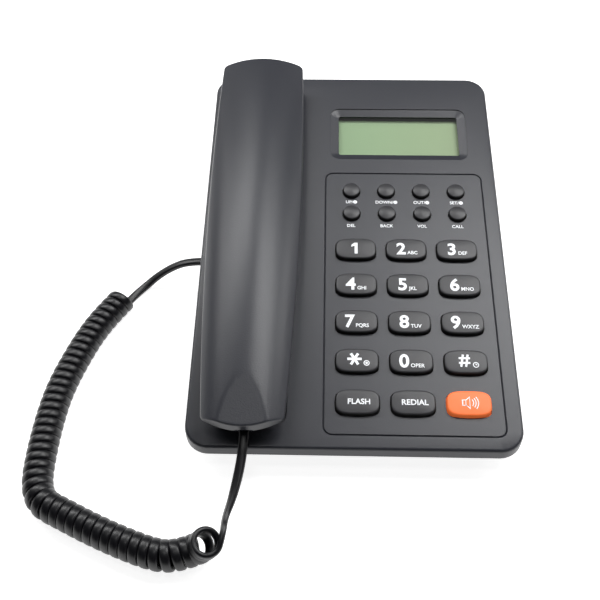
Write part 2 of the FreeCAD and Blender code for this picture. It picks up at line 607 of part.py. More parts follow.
def make_top_housing():
    shell = base_plan(0, PARTING_HEIGHT, FAR).cut(above_deck(0))
    normal = deck_point(0, 0, 1) - deck_point(0, 0, 0)
    origin = deck_point(0, 0, 0)
    rim = edges_where(shell, lambda p: abs((p - origin).dot(normal)) < 0.01)
    shell = shell.makeFillet(EDGE_ROUND, rim)
    room = base_plan(WALL, PARTING_HEIGHT, FAR).cut(above_deck(-DECK_THICKNESS))
    shell = shell.cut(room)

    w = CRADLE_WALL
    channel_sides = (CRADLE_X - CHANNEL_HALF, -CHANNEL_END, CRADLE_X + CHANNEL_HALF, CHANNEL_END)
    tub = slab(channel_sides[0] - w, channel_sides[1] - w, channel_sides[2] + w, channel_sides[3] + w,
               CHANNEL_CORNER + w, -CHANNEL_DEPTH - w, -DECK_THICKNESS / 2)
    hollow = slab(*channel_sides, CHANNEL_CORNER, -CHANNEL_DEPTH, FAR)
    for half, front, rear, depth in HEADS:
        tub = tub.fuse(head(half + HEAD_SIDE_GAP + w, front - HEAD_GAP - w, rear + HEAD_GAP + w, 0,
                            -depth - w, -CHANNEL_DEPTH))
        hollow = hollow.fuse(head(half + HEAD_SIDE_GAP, front - HEAD_GAP, rear + HEAD_GAP, 0,
                                  -depth, -CHANNEL_DEPTH))
    plunger_hole = PLUNGER_SIDE / 2 + PLUNGER_SLOT_GAP
    hollow = hollow.fuse(box(CRADLE_X - plunger_hole, PLUNGER_Y - plunger_hole, -EAR_WELL_DEPTH - 2 * w,
                             CRADLE_X + plunger_hole, PLUNGER_Y + plunger_hole, -EAR_WELL_DEPTH))
    shell = shell.fuse(on_deck(tub)).cut(on_deck(hollow))

    bosses = []
    for x, y in CASE_BOSSES:
        boss = rod(x, y, BOSS_BOTTOM, FAR, BOSS_DIAMETER).cut(above_deck(-DECK_THICKNESS / 2))
        bosses.append(boss.cut(rod(x, y, BOSS_BOTTOM, BOSS_BOTTOM + SCREW_LENGTH / 2, SCREW_SHANK)))
    for x, y in BOARD_BOSSES:
        boss = rod(x, y, BOARD_TOP, -DECK_THICKNESS / 2, BOARD_BOSS)
        pilot = rod(x, y, BOARD_TOP, BOARD_TOP + BOARD_SCREW_LENGTH - BOARD_THICKNESS, BOARD_SCREW)
        bosses.append(on_deck(boss.cut(pilot)))
    for boss in bosses:
        shell = shell.fuse(boss)

    cuts = [bezel_cut(), groove()]
    hole = key_prism(KEY_GAP, -2 * DECK_THICKNESS, DECK_THICKNESS)
    cuts += [hole.translated(V(x, y, 0)) for x, y in DIAL_KEYS.values()]
    cuts += [rod(x, y, -2 * DECK_THICKNESS, DECK_THICKNESS, ROUND_KEY_DIAMETER + 2 * KEY_GAP)
             for x, y in ROUND_KEYS.values()]
    for cut in cuts:
        shell = shell.cut(on_deck(cut))
    side, high = PLUG_WIDTH / 2 + PLUG_FIT, PLUG_HEIGHT / 2 + PLUG_FIT
    left, rear = -BASE_WIDTH / 2, BASE_DEPTH / 2
    shell = shell.cut(box(left - 1, BASE_PLUG_Y - side, BASE_PLUG_Z - high,
                          left + WALL, BASE_PLUG_Y + side, BASE_PLUG_Z + high))
    half, tall = LINE_SLOT_WIDTH / 2, LINE_SLOT_HEIGHT / 2
    shell = shell.cut(box(LINE_JACK_X - half, rear - WALL, LINE_JACK_Z - tall,
                          LINE_JACK_X + half, rear + 1, LINE_JACK_Z + tall))
    export("top_housing", shell.removeSplitter())


def pan_solid(inset, z0):
    """The pan's tapered body: sides drawn in from the parting line to the bottom."""
    x, y = BASE_WIDTH / 2 - PAN_LIP - inset, BASE_DEPTH / 2 - PAN_LIP - inset
    top = rounded_wire(-x, -y, x, y, CORNER_RADIUS - PAN_LIP, PARTING_HEIGHT)
    low = (PARTING_HEIGHT - z0) / (PARTING_HEIGHT - PAN_BOTTOM)
    side, front, rear = PAN_TUCK_SIDE * low, PAN_TUCK_FRONT * low, PAN_TUCK_REAR * low
    bottom = rounded_wire(-x + side, -y + front, x - side, y - rear, PAN_CORNER_RADIUS, z0)
    return Part.makeLoft([bottom, top], True, True)


BAY_HALF_X = (CELL_COUNT * (CELL_DIAMETER + CELL_GAP) + CELL_GAP) / 2
BAY_HALF_Y = CELL_LENGTH / 2 + CELL_NUB_LENGTH + CONTACT_THICKNESS + CELL_GAP
CELL_BOTTOM = PAN_BOTTOM + DOOR_THICKNESS + CELL_GAP
BAY_TOP = CELL_BOTTOM + CELL_DIAMETER + CELL_GAP


def make_bottom_housing():
    pan = pan_solid(0, PAN_BOTTOM).cut(pan_solid(WALL, FLOOR_TOP))
    bay = box(BAY_X - BAY_HALF_X - BAY_WALL, BAY_Y - BAY_HALF_Y - BAY_WALL, PAN_BOTTOM,
              BAY_X + BAY_HALF_X + BAY_WALL, BAY_Y + BAY_HALF_Y + BAY_WALL, BAY_TOP + BAY_WALL)
    pan = pan.fuse(bay).cut(box(BAY_X - BAY_HALF_X, BAY_Y - BAY_HALF_Y, PAN_BOTTOM - 1,
                                BAY_X + BAY_HALF_X, BAY_Y + BAY_HALF_Y, BAY_TOP))
    for x, y in CASE_BOSSES:
        pan = pan.fuse(rod(x, y, PAN_BOTTOM, BOSS_BOTTOM, POST_DIAMETER))
        pan = pan.cut(rod(x, y, PAN_BOTTOM - 1, BOSS_BOTTOM + 1, SCREW_SHANK + CLEARANCE))
        head_top = SCREW_HEAD_BOTTOM + SCREW_HEAD_HEIGHT
        pan = pan.cut(rod(x, y, PAN_BOTTOM - 1, head_top, SCREW_HEAD + CLEARANCE))
    for x in (-FOOT_X, FOOT_X):
        for y in (-FOOT_Y, FOOT_Y):
            pan = pan.cut(rod(x, y, PAN_BOTTOM - 1, PAN_BOTTOM + FOOT_RECESS, FOOT_DIAMETER))
    for i in range(GRILLE_COUNT):
        offset = (i - (GRILLE_COUNT - 1) / 2) * GRILLE_PITCH
        reach = math.sqrt(GRILLE_RADIUS ** 2 - offset ** 2)
        x = SPEAKER_X + offset
        half = GRILLE_SLOT / 2
        pan = pan.cut(slab(x - half, SPEAKER_Y - reach, x + half, SPEAKER_Y + reach,
                           GRILLE_CORNER, PAN_BOTTOM - 1, FLOOR_TOP + 1))
    pan = pan.cut(rod(PAN_MICROPHONE_X, PAN_MICROPHONE_Y, PAN_BOTTOM - 1, FLOOR_TOP + 1, SOUND_HOLE))
    export("bottom_housing", pan.removeSplitter())

    feet, screws = [], []
    for x in (-FOOT_X, FOOT_X):
        for y in (-FOOT_Y, FOOT_Y):
            foot = rod(x, y, 0, PAN_BOTTOM + FOOT_RECESS, FOOT_DIAMETER)
            feet.append(foot.makeFillet(FOOT_ROUND, edges_where(foot, lambda p: p.z < 0.01)))
    export("rubber_feet", group(feet))
    for x, y in CASE_BOSSES:
        head_top = SCREW_HEAD_BOTTOM + SCREW_HEAD_HEIGHT
        screw = rod(x, y, SCREW_HEAD_BOTTOM, head_top, SCREW_HEAD)
        reach = BOSS_BOTTOM + SCREW_LENGTH / 2 - CLEARANCE
        screws.append(screw.fuse(rod(x, y, head_top, reach, SCREW_SHANK)).removeSplitter())
    export("housing_screws", group(screws))


def make_batteries():
    cells, contacts = [], []
    y0 = BAY_Y - CELL_LENGTH / 2
    z = CELL_BOTTOM + CELL_DIAMETER / 2
    for i in range(CELL_COUNT):
        x = BAY_X + (i - (CELL_COUNT - 1) / 2) * (CELL_DIAMETER + CELL_GAP)
        way = 1 if i % 2 == 0 else -1
        can = Part.makeCylinder(CELL_DIAMETER / 2, CELL_LENGTH, V(x, y0, z), V(0, 1, 0))
        can = can.makeFillet(CELL_ROUND, [e for e in can.Edges if e.Curve.TypeId == "Part::GeomCircle"])
        tip = BAY_Y + way * CELL_LENGTH / 2
        nub = Part.makeCylinder(CELL_NUB / 2, CELL_NUB_LENGTH, V(x, tip, z), V(0, way, 0))
        cells.append(can.fuse(nub).removeSplitter())
        half = CELL_DIAMETER / 2 - CONTACT_MARGIN
        nub_face = tip + way * CELL_NUB_LENGTH
        contacts.append(box(x - half, min(nub_face, nub_face + way * CONTACT_THICKNESS), z - half,
                            x + half, max(nub_face, nub_face + way * CONTACT_THICKNESS), z + half))
        flat = BAY_Y - way * CELL_LENGTH / 2
        wall = BAY_Y - way * BAY_HALF_Y
        contacts.append(box(x - half, min(flat, wall), z - half, x + half, max(flat, wall), z + half))
    export("batteries", group(cells))
    export("battery_contacts", group(contacts))
    door_x, door_y = BAY_HALF_X - CLEARANCE, BAY_HALF_Y - CLEARANCE
    door = slab(BAY_X - door_x, BAY_Y - door_y, BAY_X + door_x, BAY_Y + door_y, DOOR_CORNER,
                PAN_BOTTOM, PAN_BOTTOM + DOOR_THICKNESS)
    for i in range(THUMB_GROOVES):
        y = BAY_Y + BAY_HALF_Y - THUMB_MARGIN - THUMB_PITCH * i
        door = door.cut(box(BAY_X - THUMB_LENGTH / 2, y, PAN_BOTTOM - 1,
                            BAY_X + THUMB_LENGTH / 2, y + THUMB_WIDTH, PAN_BOTTOM + THUMB_DEPTH))
    export("battery_door", door)


# Board, membrane and display

def make_board():
    board = box(BOARD_LEFT, BOARD_FRONT, BOARD_TOP - BOARD_THICKNESS, BOARD_RIGHT, BOARD_REAR, BOARD_TOP)
    notch_x, notch_y = BOARD_RIGHT - BOARD_NOTCH, BOARD_FRONT + BOARD_NOTCH
    board = board.cut(box(notch_x, BOARD_FRONT - 1, -FAR, FAR, notch_y, FAR))
    for x, y in BOARD_BOSSES:
        board = board.cut(rod(x, y, BOARD_TOP - BOARD_THICKNESS, BOARD_TOP, BOARD_SCREW + CLEARANCE))
    export("main_board", on_deck(board))
    under = BOARD_TOP - BOARD_THICKNESS
    screws = []
    for x, y in BOARD_BOSSES:
        cap = rod(x, y, under - BOARD_SCREW_HEAD_HEIGHT, under, BOARD_SCREW_HEAD)
        shank = rod(x, y, under, under + BOARD_SCREW_LENGTH, BOARD_SCREW)
        screws.append(cap.fuse(shank).removeSplitter())
    export("board_screws", on_deck(group(screws)))
    parts = [
        rod(PANEL_X - 25.0, PANEL_REAR - 12.6, under - CAPACITOR_HEIGHT, under, CAPACITOR_DIAMETER),
        rod(PANEL_X - 13.0, PANEL_REAR - 14.6, under - CAPACITOR_HEIGHT, under, SMALL_CAPACITOR_DIAMETER),
    ]
    for x, y, width, length, height in BLOCKS:
        x, y = PANEL_X + x, PANEL_REAR + y
        parts.append(box(x, y, under - height, x + width, y + length, under))
    export("board_components", on_deck(group(parts)))

    sheet_top = BOARD_TOP + MEMBRANE_THICKNESS
    sheet = slab(MEMBRANE_LEFT, MEMBRANE_FRONT, MEMBRANE_RIGHT, MEMBRANE_REAR, MEMBRANE_CORNER,
                 BOARD_TOP, sheet_top)
    dome = Part.makeCone(DOME_BASE / 2, DOME_TIP / 2, DOME_TOP - sheet_top, V(0, 0, sheet_top))
    for x, y in list(DIAL_KEYS.values()) + list(ROUND_KEYS.values()):
        sheet = sheet.fuse(dome.translated(V(x, y, 0)))
    export("keypad_membrane", on_deck(sheet.removeSplitter()))


def make_display():
    x0, y0, x1, y1 = window_sides()
    m = LENS_MARGIN
    lens_top = -DECK_THICKNESS
    lens_bottom = lens_top - LENS_THICKNESS
    lens = slab(x0 - m, y0 - m, x1 + m, y1 + m, LENS_CORNER, lens_bottom, lens_top)
    export("display_lens", on_deck(lens))
    lcd_top = lens_bottom - LCD_DROP
    lcd_bottom = lcd_top - LCD_THICKNESS
    w = m - BACKING_WALL
    tray = slab(x0 - m, y0 - m, x1 + m, y1 + m, LENS_CORNER, BOARD_TOP, lens_bottom)
    tray = tray.cut(box(x0 - w, y0 - w, lcd_bottom, x1 + w, y1 + w, lens_bottom))
    export("lcd_backing", on_deck(tray))
    g = w - LCD_SIDE_GAP
    export("lcd_glass", on_deck(box(x0 - g, y0 - g, lcd_bottom, x1 + g, y1 + g, lcd_top)))


# Hook, jacks and loudspeaker

def make_hook():
    half, collar = PLUNGER_SIDE / 2, PLUNGER_COLLAR / 2
    collar_top = -EAR_WELL_DEPTH - CRADLE_WALL - PLUNGER_TRAVEL - CLEARANCE
    collar_bottom = collar_top - PLUNGER_COLLAR_THICKNESS
    post = slab(CRADLE_X - half, PLUNGER_Y - half, CRADLE_X + half, PLUNGER_Y + half, PLUNGER_CORNER,
                collar_bottom, -EAR_WELL_DEPTH)
    ring = slab(CRADLE_X - collar, PLUNGER_Y - collar, CRADLE_X + collar, PLUNGER_Y + collar,
                COLLAR_CORNER, collar_bottom, collar_top)
    export("hook_plunger", on_deck(post.fuse(ring).removeSplitter()))

    low, high = HOOK_SWITCH_TOP + SPRING_WIRE / 2, collar_bottom - SPRING_WIRE / 2
    helix = Part.makeHelix((high - low) / SPRING_TURNS, high - low, SPRING_RADIUS)
    profile = Part.Wire(Part.Circle(V(SPRING_RADIUS, 0, 0), V(0, 1, 0), SPRING_WIRE / 2).toShape())
    spring = Part.Wire(helix).makePipeShell([profile], True, True)
    export("hook_spring", on_deck(spring.translated(V(CRADLE_X, PLUNGER_Y, low))))

    side = HOOK_SWITCH_SIDE / 2
    middle = deck_point(CRADLE_X, PLUNGER_Y, HOOK_SWITCH_TOP)
    body = box(CRADLE_X - side, middle.y - side, FLOOR_TOP, CRADLE_X + side, middle.y + side, FAR / 4)
    export("hook_switch", body.cut(above_deck(HOOK_SWITCH_TOP)))


def make_jacks():
    side, high = PLUG_WIDTH / 2 + PLUG_FIT, PLUG_HEIGHT / 2 + PLUG_FIT
    wall = -BASE_WIDTH / 2 + WALL
    jack = box(wall, BASE_PLUG_Y - side - JACK_WALL, BASE_PLUG_Z - high - JACK_WALL,
               wall + JACK_DEPTH, BASE_PLUG_Y + side + JACK_WALL, BASE_PLUG_Z + high + JACK_WALL)
    room = box(wall, BASE_PLUG_Y - side, BASE_PLUG_Z - high,
               wall + JACK_DEPTH - JACK_WALL, BASE_PLUG_Y + side, BASE_PLUG_Z + high)
    export("base_jack", jack.cut(room))
    plug = plug_body()
    plug.rotate(V(0, 0, 0), V(0, 0, 1), -90)
    plug.translate(V(-BASE_WIDTH / 2 - PLUG_REACH, BASE_PLUG_Y, BASE_PLUG_Z))
    export("base_plug", plug)
    half, tall = LINE_SLOT_WIDTH / 2, LINE_SLOT_HEIGHT / 2
    inside = BASE_DEPTH / 2 - WALL
    jack = box(LINE_JACK_X - half - JACK_WALL, inside - JACK_DEPTH, LINE_JACK_Z - tall - JACK_WALL,
               LINE_JACK_X + half + JACK_WALL, inside, LINE_JACK_Z + tall + JACK_WALL)
    jack = jack.cut(box(LINE_JACK_X - half, inside - JACK_DEPTH + JACK_WALL, LINE_JACK_Z - tall,
                        LINE_JACK_X + half, inside, LINE_JACK_Z + tall))
    export("line_jack", jack)


def make_loudspeaker():
    x, y, z = SPEAKER_X, SPEAKER_Y, FLOOR_TOP
    outer, inner = SPEAKER_DIAMETER / 2, SPEAKER_DIAMETER / 2 - SPEAKER_RIM
    neck = MAGNET_DIAMETER / 2
    basket = Part.makeCone(outer, neck + BASKET_LIP, BASKET_HEIGHT, V(x, y, z))
    basket = basket.cut(Part.makeCone(inner, neck - BASKET_SKIN, BASKET_HEIGHT, V(x, y, z)))
    export("loudspeaker_basket", basket)
    paper = inner - CLEARANCE
    tip = neck - CONE_TIP
    cone = Part.makeCone(paper, tip, CONE_HEIGHT, V(x, y, z))
    cone = cone.cut(Part.makeCone(paper - CONE_SKIN, tip - CONE_SKIN, CONE_HEIGHT - CONE_CAP, V(x, y, z)))
    export("loudspeaker_cone", cone)
    magnet = rod(x, y, z + BASKET_HEIGHT, z + BASKET_HEIGHT + MAGNET_HEIGHT, MAGNET_DIAMETER)
    export("loudspeaker_magnet", magnet)
    export("handsfree_microphone", rod(PAN_MICROPHONE_X, PAN_MICROPHONE_Y, FLOOR_TOP,
                                       FLOOR_TOP + PAN_MICROPHONE_HEIGHT, PAN_MICROPHONE_DIAMETER))


# Cord

def unit(v):
    return v * (1 / v.Length)


def arc_through(start, corner, end):
    """The arc from start to end whose tangents meet at corner, or a straight edge where it is flat."""
    chord = (start + end) * 0.5
    lift = (corner - chord).Length
    half = (start - chord).Length
    if lift < 1e-6 * half:
        return Part.LineSegment(start, end).toShape()
    bulge = half * math.tan(math.atan2(lift, half) / 2)
    return Part.Arc(start, chord + unit(corner - chord) * bulge, end).toShape()


def biarc(p0, t0, p1, t1):
    """Two tangent arcs from p0, heading t0, to p1, heading t1."""
    v, t = p1 - p0, t0 + t1
    bend = 2 * (1 - t0.dot(t1))
    across = v.dot(t)
    if bend < 1e-9:
        reach = v.dot(v) / (2 * across)
    else:
        reach = (-across + math.sqrt(across ** 2 + bend * v.dot(v))) / bend
    q0, q1 = p0 + t0 * reach, p1 - t1 * reach
    middle = (q0 + q1) * 0.5
    return [arc_through(p0, q0, middle), arc_through(middle, q1, p1)]


def tube(edges, start, heading):
    """A round tube along edges, with its measured volume set against section times length."""
    path = Part.Wire(edges)
    profile = Part.Wire(Part.Circle(start, heading, CORD_DIAMETER / 2).toShape())
    solid = path.makePipeShell([profile], True, False)
    expected = math.pi * CORD_DIAMETER ** 2 / 4 * path.Length
    print(f"  tube length {path.Length:.1f}, volume ratio {solid.Volume / expected:.4f}")
    return solid


def lead(points):
    """A tube on straight runs joined by tangent arcs, each as large as its two runs allow."""
    edges, here, radii = [], points[0], []
    for before, corner, after in zip(points, points[1:], points[2:]):
        u, w = unit(corner - before), unit(after - corner)
        half_turn = u.getAngle(w) / 2
        cut = 0.45 * min((corner - before).Length, (after - corner).Length)
        radii.append(cut / math.tan(half_turn))
        start, end = corner - u * cut, corner + w * cut
        edges += [Part.LineSegment(here, start).toShape(), arc_through(start, corner, end)]
        here = end
    edges.append(Part.LineSegment(here, points[-1]).toShape())
    print("  radii", [round(r, 1) for r in radii])
    return tube(edges, points[0], unit(points[1] - points[0]))


def smooth(t):
    t = min(max(t, 0.0), 1.0)
    return t * t * (3 - 2 * t)


def floor_point(x, y, z):
    """A point measured from the base's front left corner, in the row frame."""
    return V(x - SIDE, y - END, z)


def curl_axis(steps):
    """The curls' axis as a quadratic spline: a parabola per point, from middle to middle of the runs."""
    lift = CURL_RADIUS + CORD_DIAMETER / 2
    pts = [floor_point(x, y, lift) for x, y in CURL_AXIS_POINTS]
    pts += [floor_point(*p) for p in CURL_END_POINTS]
    knots = [pts[0]] + [(a + b) * 0.5 for a, b in zip(pts[1:-2], pts[2:-1])] + [pts[-1]]
    path = []
    for start, corner, end in zip(knots, pts[1:-1], knots[1:]):
        for i in range(steps):
            t = i / steps
            point = start * (1 - t) ** 2 + corner * (2 * t * (1 - t)) + end * t ** 2
            slope = (corner - start) * (2 * (1 - t)) + (end - corner) * (2 * t)
            second = start * 2 - corner * 4 + end * 2
            path.append((point, unit(slope), slope.cross(second).Length / slope.Length ** 3))
    path.append((pts[-1], unit(pts[-1] - pts[-2]), path[-1][2]))
    return path


def curl_line(steps_per_turn):
    """Points of the wire: it runs in along the floor, winds up on to the curls and rides their axis."""
    path = curl_axis(60)
    lengths = [0.0]
    for (a, _, _), (b, _, _) in zip(path, path[1:]):
        lengths.append(lengths[-1] + (b - a).Length)
    up, frames = V(0, 0, 1), []
    for _, heading, _ in path:
        up = unit(up - heading * up.dot(heading))
        frames.append(up)
    points, k, s, turn, angle = [], 0, 0.0, 0.0, math.pi
    while s < lengths[-1]:
        while lengths[k + 1] < s:
            k += 1
        f = (s - lengths[k]) / (lengths[k + 1] - lengths[k])
        centre = path[k][0] * (1 - f) + path[k + 1][0] * f
        heading = unit(path[k][1] * (1 - f) + path[k + 1][1] * f)
        u = frames[k] * (1 - f) + frames[k + 1] * f
        u = unit(u - heading * u.dot(heading))
        points.append(centre + (u * math.cos(angle) + heading.cross(u) * math.sin(angle)) * CURL_RADIUS)
        wound = smooth(turn / RAMP_TURNS)
        pitch = CURL_PITCH / (1 - CURL_RADIUS * path[k][2])
        s += (pitch * wound + RAMP_ADVANCE * (1 - wound)) / steps_per_turn
        angle += 2 * math.pi * wound / steps_per_turn
        turn += 1 / steps_per_turn
    return points


def least_self_gap(points, spacing):
    """The least distance between two stretches of the wire, less the wire's diameter."""
    skip = max(2, int(2.5 * CORD_DIAMETER / spacing))
    least = min((points[i] - points[j]).Length
                for i in range(len(points)) for j in range(i + skip, min(len(points), i + 6 * skip)))
    return least - CORD_DIAMETER


def make_cord():
    steps = 48
    line = curl_line(steps)
    plug = deck_point(HANDSET_PLUG_X, PLUG_FRONT_Y, HANDSET_PLUG_HEIGHT)
    aim = floor_point(*HANDSET_LEAD_POINTS[0])
    last_turn = range(len(line) - steps, len(line) - 1)
    leave = max(last_turn, key=lambda i: unit(line[i + 1] - line[i - 1]).dot(unit(aim - line[i])))
    line = line[:leave + 2]
    nodes = list(range(0, int(RAMP_TURNS * steps), steps // 8))
    nodes += list(range(nodes[-1] + steps // 8, leave - steps // 8, steps // 4)) + [leave]
    tangents = [unit(line[1] - line[0])] + [unit(line[i + 1] - line[i - 1]) for i in nodes[1:]]
    first = line[0] - tangents[0] * CORD_DIAMETER
    final = line[leave] + tangents[-1] * CORD_DIAMETER
    edges = [Part.LineSegment(first, line[0]).toShape()]
    for (i, t0), (j, t1) in zip(zip(nodes, tangents), list(zip(nodes, tangents))[1:]):
        edges += biarc(line[i], t0, line[j], t1)
    edges.append(Part.LineSegment(line[leave], final).toShape())
    spacing = sum((b - a).Length for a, b in zip(line, line[1:])) / (len(line) - 1)
    print(f"curls {leave / steps:.1f}, least self gap {least_self_gap(line, spacing):.2f} mm")
    print("  curl ends", [round(c, 2) for c in first], [round(c, 2) for c in final])
    export("curly_cord", tube(edges, first, tangents[0]))

    outlet = V(-BASE_WIDTH / 2 - PLUG_REACH, BASE_PLUG_Y, BASE_PLUG_Z)
    run_in = first - tangents[0] * LEAD_IN
    export("base_lead", lead([outlet] + [floor_point(*p) for p in BASE_LEAD_POINTS] + [run_in, first]))
    way = unit(deck_point(0, -1, 0) - deck_point(0, 0, 0))
    run_out = final + tangents[-1] * LEAD_IN
    route = [final, run_out] + [floor_point(*p) for p in HANDSET_LEAD_POINTS]
    route += [plug + way * PLUG_RUN, plug]
    export("handset_lead", lead(route))


make_top_housing()
make_bottom_housing()
make_batteries()
make_board()
make_display()
make_keys()
make_hook()
make_jacks()
make_loudspeaker()
make_handset()
make_cord()
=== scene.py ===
# %% [markdown]
# # A corded desk telephone
# The real thing is a plastic base with a sloping deck, 23 keys and a small display. A handset lies in a
# cradle on its left, and a curly cord joins the two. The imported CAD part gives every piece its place,
# size and motion, so it is loaded first and never moved. Where a CAD piece already looks right it keeps
# its own mesh. Where the eye wants finer curves, a surface worked out with numpy stands for it.

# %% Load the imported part
import json
import math

import bmesh
import bpy
import numpy as np
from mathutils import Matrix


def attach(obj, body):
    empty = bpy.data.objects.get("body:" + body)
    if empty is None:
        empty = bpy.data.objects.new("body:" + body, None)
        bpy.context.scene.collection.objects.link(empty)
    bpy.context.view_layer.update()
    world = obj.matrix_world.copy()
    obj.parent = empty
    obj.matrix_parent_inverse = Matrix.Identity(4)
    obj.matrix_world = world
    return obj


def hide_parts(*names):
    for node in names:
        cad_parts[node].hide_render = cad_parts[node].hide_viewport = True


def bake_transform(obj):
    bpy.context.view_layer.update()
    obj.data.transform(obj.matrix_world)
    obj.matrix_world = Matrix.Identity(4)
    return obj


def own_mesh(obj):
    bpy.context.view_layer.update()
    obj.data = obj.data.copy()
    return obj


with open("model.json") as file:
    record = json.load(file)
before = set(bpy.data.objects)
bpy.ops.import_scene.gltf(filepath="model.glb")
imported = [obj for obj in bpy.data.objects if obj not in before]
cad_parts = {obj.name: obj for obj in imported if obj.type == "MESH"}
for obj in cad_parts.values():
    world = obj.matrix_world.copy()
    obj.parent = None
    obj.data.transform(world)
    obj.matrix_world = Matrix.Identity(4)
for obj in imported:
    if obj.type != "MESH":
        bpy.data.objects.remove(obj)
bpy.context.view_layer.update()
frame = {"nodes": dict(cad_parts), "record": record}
scene = bpy.context.scene

# %% [markdown]
# ## The deck's frame
# Nearly everything on a phone sits on its sloping deck. Each piece could be modelled flat and then
# turned, but a turned object loses its pattern when it is exported. So one function turns points instead:
# shapes are written in millimetres of the deck, with x to the right, y up the slope and n out of the
# deck, and every object stays at the origin.

# %% The deck's frame
MM = 0.001
TILT = math.radians(7.0)
DECK_MID = 30.63


def deck(points):
    """Deck frame in mm to row frame in m: (x, y cos t - n sin t, h + y sin t + n cos t)."""
    x, y, n = np.moveaxis(np.asarray(points, float), -1, 0)
    c, s = math.cos(TILT), math.sin(TILT)
    return np.stack([x, y * c - n * s, DECK_MID + y * s + n * c], -1) * MM


def unit(v):
    """Vectors of length 1: v over the length of v."""
    return v / np.linalg.norm(v, axis=-1, keepdims=True)


def smoothstep(t):
    """3 t^2 - 2 t^3, held to 0..1."""
    t = np.clip(t, 0.0, 1.0)
    return t * t * (3 - 2 * t)


print("deck middle", deck([0, 0, 0]))

# %% [markdown]
# ## Meshes from arrays
# A cap, a tube and a shell are all grids of points, open one way and closed the other. They could be
# pushed and pulled by hand in edit mode, but a grid from a formula can be checked and changed. Two
# helpers turn any such grid into quads, and close its two ends with fans of triangles.

# %% Grids and closed skins
def grid_faces(rows, columns):
    """Quads of a grid that is closed in its columns, as rows of four indices."""
    index = np.arange(rows * columns).reshape(rows, columns)
    index = np.concatenate([index, index[:, :1]], axis=1)
    return np.stack([index[:-1, :-1], index[:-1, 1:], index[1:, 1:], index[1:, :-1]], -1).reshape(-1, 4)


def capped(points):
    """Vertices and faces of a closed skin: grid quads and a fan of triangles at each end."""
    rows, columns = points.shape[:2]
    vertices = np.concatenate([points.reshape(-1, 3), points[:1].mean(1), points[-1:].mean(1)])
    first = np.arange(columns)
    last = first + (rows - 1) * columns
    low, high = np.full(columns, rows * columns), np.full(columns, rows * columns + 1)
    faces = grid_faces(rows, columns).tolist()
    faces += np.stack([low, np.roll(first, -1), first], -1).tolist()
    faces += np.stack([high, last, np.roll(last, -1)], -1).tolist()
    return vertices, faces


print("quads of a 3 by 4 grid", len(grid_faces(3, 4)))

# %% [markdown]
# ## Pieces that ride on bodies
# Real mouldings are smooth with a few crisp edges. A subdivision could give that, but it would move the
# surface off its formula, so the meshes are fine enough already and only their creases are marked. Each
# piece is then told which body carries it and which CAD nodes it stands for.

# %% Pieces that ride on bodies
WELD = 2e-6


def finish_mesh(mesh, sharp, turn=True):
    """Merges doubles, turns faces outward if asked, and marks edges that bend past an angle."""
    work = bmesh.new()
    work.from_mesh(mesh)
    bmesh.ops.remove_doubles(work, verts=work.verts, dist=WELD)
    if turn:
        bmesh.ops.recalc_face_normals(work, faces=work.faces)
    work.to_mesh(mesh)
    work.free()
    mesh.shade_smooth()
    mesh.set_sharp_from_angle(angle=math.radians(sharp))


def add_piece(name, vertices, faces, material, body, replaces=(), sharp=35.0):
    """A mesh object that rides on a body, with smooth shading and sharp creases."""
    mesh = bpy.data.meshes.new(name)
    mesh.from_pydata(np.asarray(vertices).tolist(), [], faces)
    finish_mesh(mesh, sharp)
    mesh.materials.append(material)
    piece = bpy.data.objects.new(name, mesh)
    scene.collection.objects.link(piece)
    if body:
        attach(piece, body)
    if replaces:
        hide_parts(*replaces)
    return piece


# %% [markdown]
# ## Camera
# The photo was taken from above the front edge. A camera can be nudged until it looks about right, but
# the base has long straight edges, and fitting them gives its place, turn and lens all at once. That fit
# is used here.

# %% Camera
CAMERA_PLACE = np.array([-15.0, -304.8, 364.4]) * MM
CAMERA_TURN = np.radians([38.53, 1.35, 0.72])
LENS_MM, SENSOR_MM = 54.0, 36.0

camera_data = bpy.data.cameras.new("camera")
camera_data.lens = LENS_MM
camera_data.sensor_width = SENSOR_MM
camera_data.clip_start = 0.01
camera = bpy.data.objects.new("camera", camera_data)
camera.location = CAMERA_PLACE
camera.rotation_mode = "ZYX"
camera.rotation_euler = CAMERA_TURN
scene.collection.objects.link(camera)
scene.camera = camera
scene.render.engine = "CYCLES"
scene.cycles.samples = 128
scene.cycles.use_denoising = True
scene.view_settings.view_transform = "Standard"
print("camera at", tuple(camera.location))

# %% [markdown]
# ## Nodes in a line
# A material is a tree of nodes. It could be wired by hand in the Shader Editor, but a script can be read
# and changed later. One helper makes a node, gives it its settings and fills each of its inputs with a
# plain value or a link, so that a material reads from top to bottom. The others are short names for kinds
# that come often.

# %% Node helpers
def add_node(tree, kind, inputs=None, **settings):
    """A node with its settings, each input a plain value or a link from another node's socket."""
    node = tree.nodes.new("ShaderNode" + kind)
    for name, value in settings.items():
        setattr(node, name, value)
    for socket, value in (inputs or {}).items():
        if isinstance(value, bpy.types.NodeSocket):
            tree.links.new(value, node.inputs[socket])
        else:
            node.inputs[socket].default_value = value
    return node


def worked(tree, operation, *values):
    """The result of a Math node on sockets and plain numbers."""
    return add_node(tree, "Math", dict(enumerate(values)), operation=operation).outputs[0]


def ramped(tree, value, start, end, at_start=0.0, at_end=1.0):
    """A straight line from at_start at start to at_end at end, held level beyond them."""
    spans = {"Value": value, "From Min": start, "From Max": end, "To Min": at_start, "To Max": at_end}
    return add_node(tree, "MapRange", spans).outputs["Result"]


def new_material(name):
    """A material whose node tree is empty."""
    material = bpy.data.materials.new(name)
    material.use_nodes = True
    material.node_tree.nodes.clear()
    return material


def mirror_rays(tree, path):
    """1 for a ray that comes off a mirror or through glass, else 0."""
    return worked(tree, "MAXIMUM", path.outputs["Is Glossy Ray"], path.outputs["Is Transmission Ray"])


